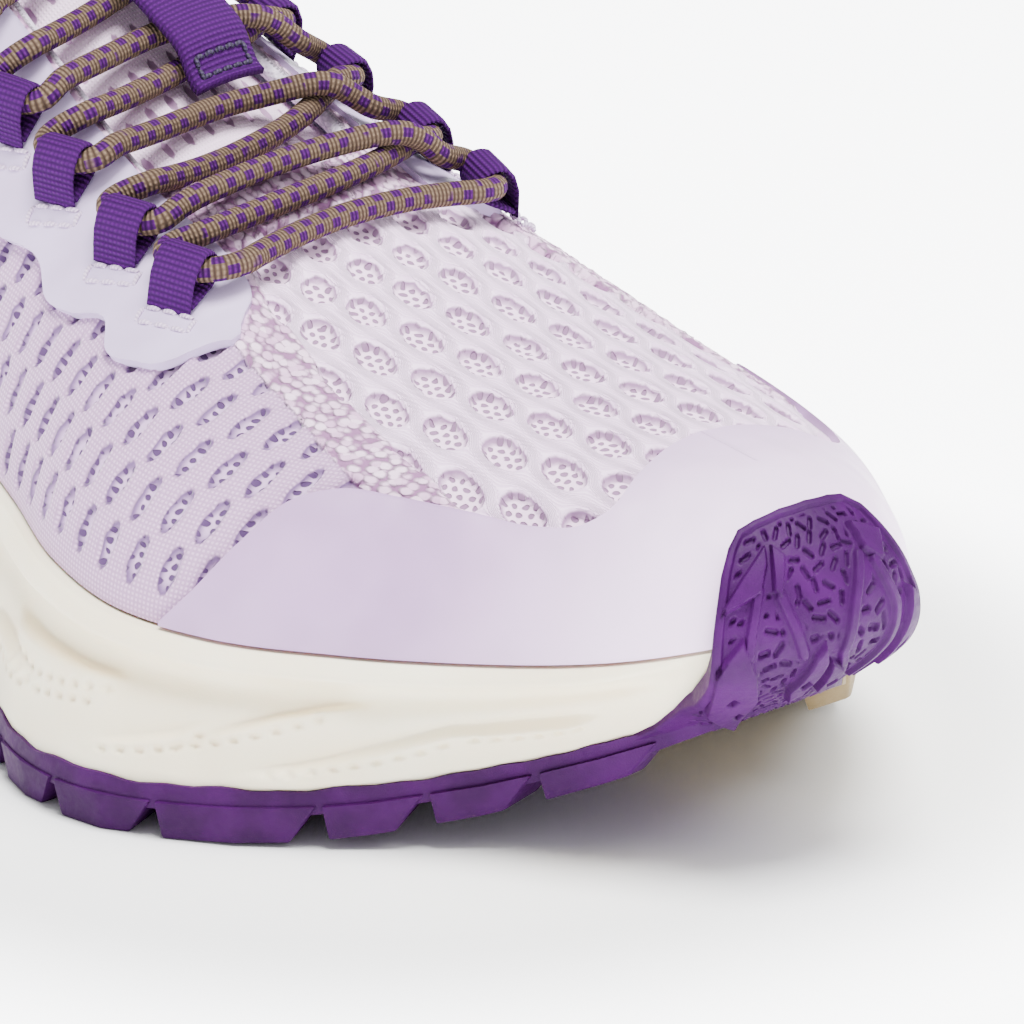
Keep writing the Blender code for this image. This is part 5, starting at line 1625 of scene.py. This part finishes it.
def bumper_relief(s, v, edge):
    """Raised rim, blocks and ribs over a field of small pits."""
    inner = soft_step(edge, 0.1, 0.7) * soft_step(v - v[:, :1], 0.0, 1.2)
    raised = RIM_TALL * (1 - soft_step(edge, RIM_BAND - 0.14, RIM_BAND + 0.14))
    busy = RIM_BAND - edge
    forms = [(BLOCK_TALL, block_depth(s, v, corners)) for corners in BLOCKS]
    forms += [(RIB_TALL, RIB_HALF - line_distance(s, v, line)) for line in RIBS]
    for tall, depth in forms:
        busy = np.maximum(busy, depth)
        raised = np.maximum(raised, tall * inner * soft_step(depth, *FORM_EDGE))
    for place_s, place_v in WINDOWS:
        window = 0.75 - np.abs(s - place_s) - 0.7 * np.abs(v - place_v)
        raised = raised - 0.7 * soft_step(window, -0.15, 0.2)
    rng = np.random.default_rng(5)
    pits = np.full(s.shape, -FAR)
    long, wide = PIT_SIZE
    for row, pv in enumerate(np.arange(*PIT_FIELD[1], PIT_PITCH * 0.87)):
        for ps in np.arange(*PIT_FIELD[0], PIT_PITCH) + (row % 2) * PIT_PITCH / 2:
            turn = rng.uniform(0, math.pi)
            ds = s - ps - rng.uniform(-PIT_STRAY, PIT_STRAY)
            dv = v - pv - rng.uniform(-PIT_STRAY, PIT_STRAY)
            p = ds * math.cos(turn) + dv * math.sin(turn)
            q = dv * math.cos(turn) - ds * math.sin(turn)
            pits = np.maximum(pits, wide - np.hypot(p - np.clip(p, -long, long), q))
    clear = 1 - soft_step(busy, -0.75, -0.35)
    return raised - PIT_DEPTH * soft_step(pits, -0.08, 0.1) * clear


def bumper_grid():
    """Skin under the bumper, with the places round the toe and up it in millimetres."""
    stations, rows = BUMPER_GRID
    knots, tops = np.transpose(BUMPER_EDGE)
    fine = np.linspace(knots[0], knots[-1], 900)
    tall = np.interp(np.interp(fine, knots, tops), (0.0, 1.0, 1.644), (0.0, 13.5, 27.8))
    reach = run_along(np.column_stack([fine, 0.2 * tall]))
    turn = np.interp(np.linspace(0, reach[-1], stations), reach, fine)
    top = np.interp(turn, knots, tops)
    angle = math.pi + np.radians(turn)
    tuck = np.interp(turn, (-24.0, -19.0, 9.0, 12.6), (0.07, 0.3, 0.3, 0.07))[:, None]
    sides = np.linspace(0, 1, 30)
    over = np.linspace(0.02, 0.66, 40)

    def skin(where):
        low = [under_ring(where, tuck * share, 0.0, -0.9) for share in (1.0, 0.6, 0.25)]
        low = [np.stack(low, 1), midsole_side(where[:, None], sides)]
        made = np.concatenate(low + [last_point(where[:, None], BUMPER_SPAN * over)], 1)
        for _ in range(BUMPER_SMOOTH):
            made[:, 1:-1] = (made[:, :-2] + 2 * made[:, 1:-1] + made[:, 2:]) / 4
        return made

    base = skin(angle)
    facing = np.cross(skin(angle + 0.01) - skin(angle - 0.01), np.gradient(base, axis=1))
    levels = np.concatenate([(-0.6, -0.4, -0.1), sides, 1 + over])
    grid, normal = np.empty((2, stations, rows, 3))
    up = np.empty((stations, rows))
    for k in range(stations):
        run = run_along(base[k])
        at = np.linspace(0, np.interp(top[k], levels, run), rows)
        grid[k], normal[k] = sampled(at, run, base[k]), sampled(at, run, facing[k])
        up[k] = at - np.interp(0.0, levels, run)
    around = run_along(midsole_side(angle, 0.8))
    around -= np.interp(0.0, turn, around)
    return grid, unit(normal), np.broadcast_to(around[:, None], up.shape), up


def build_bumper(look):
    """Rubber that turns up over the toe, with its relief."""
    grid, normal, s, up = bumper_grid()
    low = BUMPER_GAP + (TOE_GAP + FILM) * soft_step(grid[..., 2], 17.0, 29.0)
    edge = line_distance(s, up, list(zip(s[::2, 0], up[::2, -1])))
    full = soft_step(s, -23.0, -18.5)
    lift = low + 0.4 + full * (BUMPER_THICK - 1.0 + bumper_relief(s, up, edge))
    turned = np.clip(edge / 0.5, 0, 1)
    lift -= 0.35 * (1 - np.sqrt(1 - (1 - turned) ** 2))
    outer = grid + normal * lift[..., None]
    mesh = walled_mesh("toe_bumper", outer, grid + normal * (low - BUMPER_SINK)[..., None])
    return split_edges(piece("toe_bumper", mesh, look, "purple_rubber"), 50)


def rubber_look(name, dark, light):
    look = Look(name, 0.6, Specular_IOR_Level=0.14)
    place = look.place()
    tone = look.ramp(look.noise(place, 0.2, 3.0), 0.3, 0.7)
    look.colour(look.mix(tone, dark, light))
    look.rough(look.ramp(look.noise(place, 1.2), 0.2, 0.8, 0.48, 0.64))
    return look.bump((look.noise(place, 5.0, 4.0), 0.05))


# Stage

FLOOR_REACH = (50.0, 53.0, 58.0, 65.0, 80.0, 110.0, 160.0, 240.0, 400.0, 800.0, 2000.0, 6000.0)
FLOOR_MIDDLE = (58.0, -82.0)  # ends of the line that the floor spreads from
FLOOR_COLOUR = (0.94, 0.945, 0.95)
FLOOR_PAINTED_LIGHT = 5.4  # painted light: the floor glows, more strongly away from the shoe, and not at all near it, where its shadow falls
PAINTED_LIGHT_COLOUR = (0.97, 0.985, 1.0, 1.0)
# The floor's painted light rises between these distances from the shoe
PAINTED_LIGHT_REACH = (20.0, 62.0)
SKY_COLOUR = (0.98, 0.99, 1.0, 1.0)
WORLD_STRENGTH = 0.72
# Lamps: place, target, size and power
LAMPS = {
    "key": ((0.32, -0.02, 1.45), (0.06, 0.0, 0.03), 0.7, 57.0),
    "rim": ((0.7, 0.35, 1.1), (0.06, 0.0, 0.04), 0.8, 10.0),
}
CAMERA_PLACE = (0.51678, -0.39285, 0.2452)
CAMERA_TURN = (70.0, 0.0, 48.0)
CAMERA_LENS = 183.5


def placed(name, data, place, turn):
    """Object in the scene at a place, turned by Euler angles."""
    made = bpy.data.objects.new(name, data)
    made.location = place
    made.rotation_euler = turn
    bpy.context.scene.collection.objects.link(made)
    return made


def area_light(name, place, target, size, power):
    lamp = bpy.data.lights.new(name, "AREA")
    lamp.shape = "DISK"
    lamp.size = size
    lamp.energy = power
    way = Vector(target) - Vector(place)
    placed(name, lamp, place, way.to_track_quat("-Z", "Y").to_euler())


def build_stage():
    turn = np.linspace(0, 2 * math.pi, 96, endpoint=False)
    way = np.stack([np.cos(turn), np.sin(turn), 0 * turn], 1)
    middle = np.where(way[:, :1] > 0, *FLOOR_MIDDLE) * (1.0, 0.0, 0.0)
    grid = [middle + way * reach for reach in (1.0,) + FLOOR_REACH]
    away = np.repeat(np.array((0.0,) + FLOOR_REACH) - FLOOR_REACH[0], len(turn))
    faces = [*grid_quads(len(grid), len(turn), close_columns=True), range(len(turn))]
    look = Look("floor", 0.9, Specular_IOR_Level=0.1)
    look.colour(FLOOR_COLOUR)
    look.shader.inputs["Emission Color"].default_value = PAINTED_LIGHT_COLOUR
    # Painted light: the floor glows by its distance from the shoe, and is left unlit near the shoe,
    # where its shadow falls
    painted_light = look.ramp(look.value("away"), *PAINTED_LIGHT_REACH, 0.0, FLOOR_PAINTED_LIGHT)
    look.tree.links.new(painted_light, look.shader.inputs["Emission Strength"])
    mesh = mesh_of("floor", grid, faces, {"away": away}, weld=False, turn=True)
    mesh.materials.append(look.material)
    floor = bpy.data.objects.new("floor", mesh)
    bpy.context.scene.collection.objects.link(floor)
    world = bpy.data.worlds.new("studio")
    world.use_nodes = True
    sky = world.node_tree.nodes["Background"]
    sky.inputs["Color"].default_value = SKY_COLOUR
    sky.inputs["Strength"].default_value = WORLD_STRENGTH
    bpy.context.scene.world = world
    for name, settings in LAMPS.items():
        area_light(name, *settings)


def build_camera():
    camera = bpy.data.cameras.new("camera")
    camera.lens = CAMERA_LENS
    camera.sensor_width = 36.0
    camera.clip_start = 0.01
    turn = tuple(math.radians(a) for a in CAMERA_TURN)
    bpy.context.scene.camera = placed("camera", camera, CAMERA_PLACE, turn)


build_camera()
build_stage()
webbing = webbing_look()
build_upper(mesh_look())
build_toe_film(film_look("toe_film", linear(177, 141, 187), 0.42))
eyestay_film = film_look("eyestay_film", linear(198, 178, 216), 0.38)
build_eyestay("eyestay_film_lateral", "eyestay_lateral", False, eyestay_film)
build_eyestay("eyestay_film_medial", "eyestay_medial", True, eyestay_film)
build_loops(webbing)
build_lace(lace_look())
strap = build_keeper(webbing)
build_tacks(thread_look("tack_thread", linear(180, 156, 190), linear(216, 196, 222)))
build_keeper_stitches(strap, thread_look("keeper_thread", linear(20, 10, 34), linear(44, 26, 66)))
build_tongue(tongue_look())
build_midsole(foam_look())
build_insole(insole_look())
purple = rubber_look("purple_rubber", linear(47, 2, 60), linear(59, 4, 74))
build_outsole(purple)
build_bumper(purple)
build_insert(rubber_look("taupe_rubber", linear(112, 95, 66), linear(130, 113, 82)))
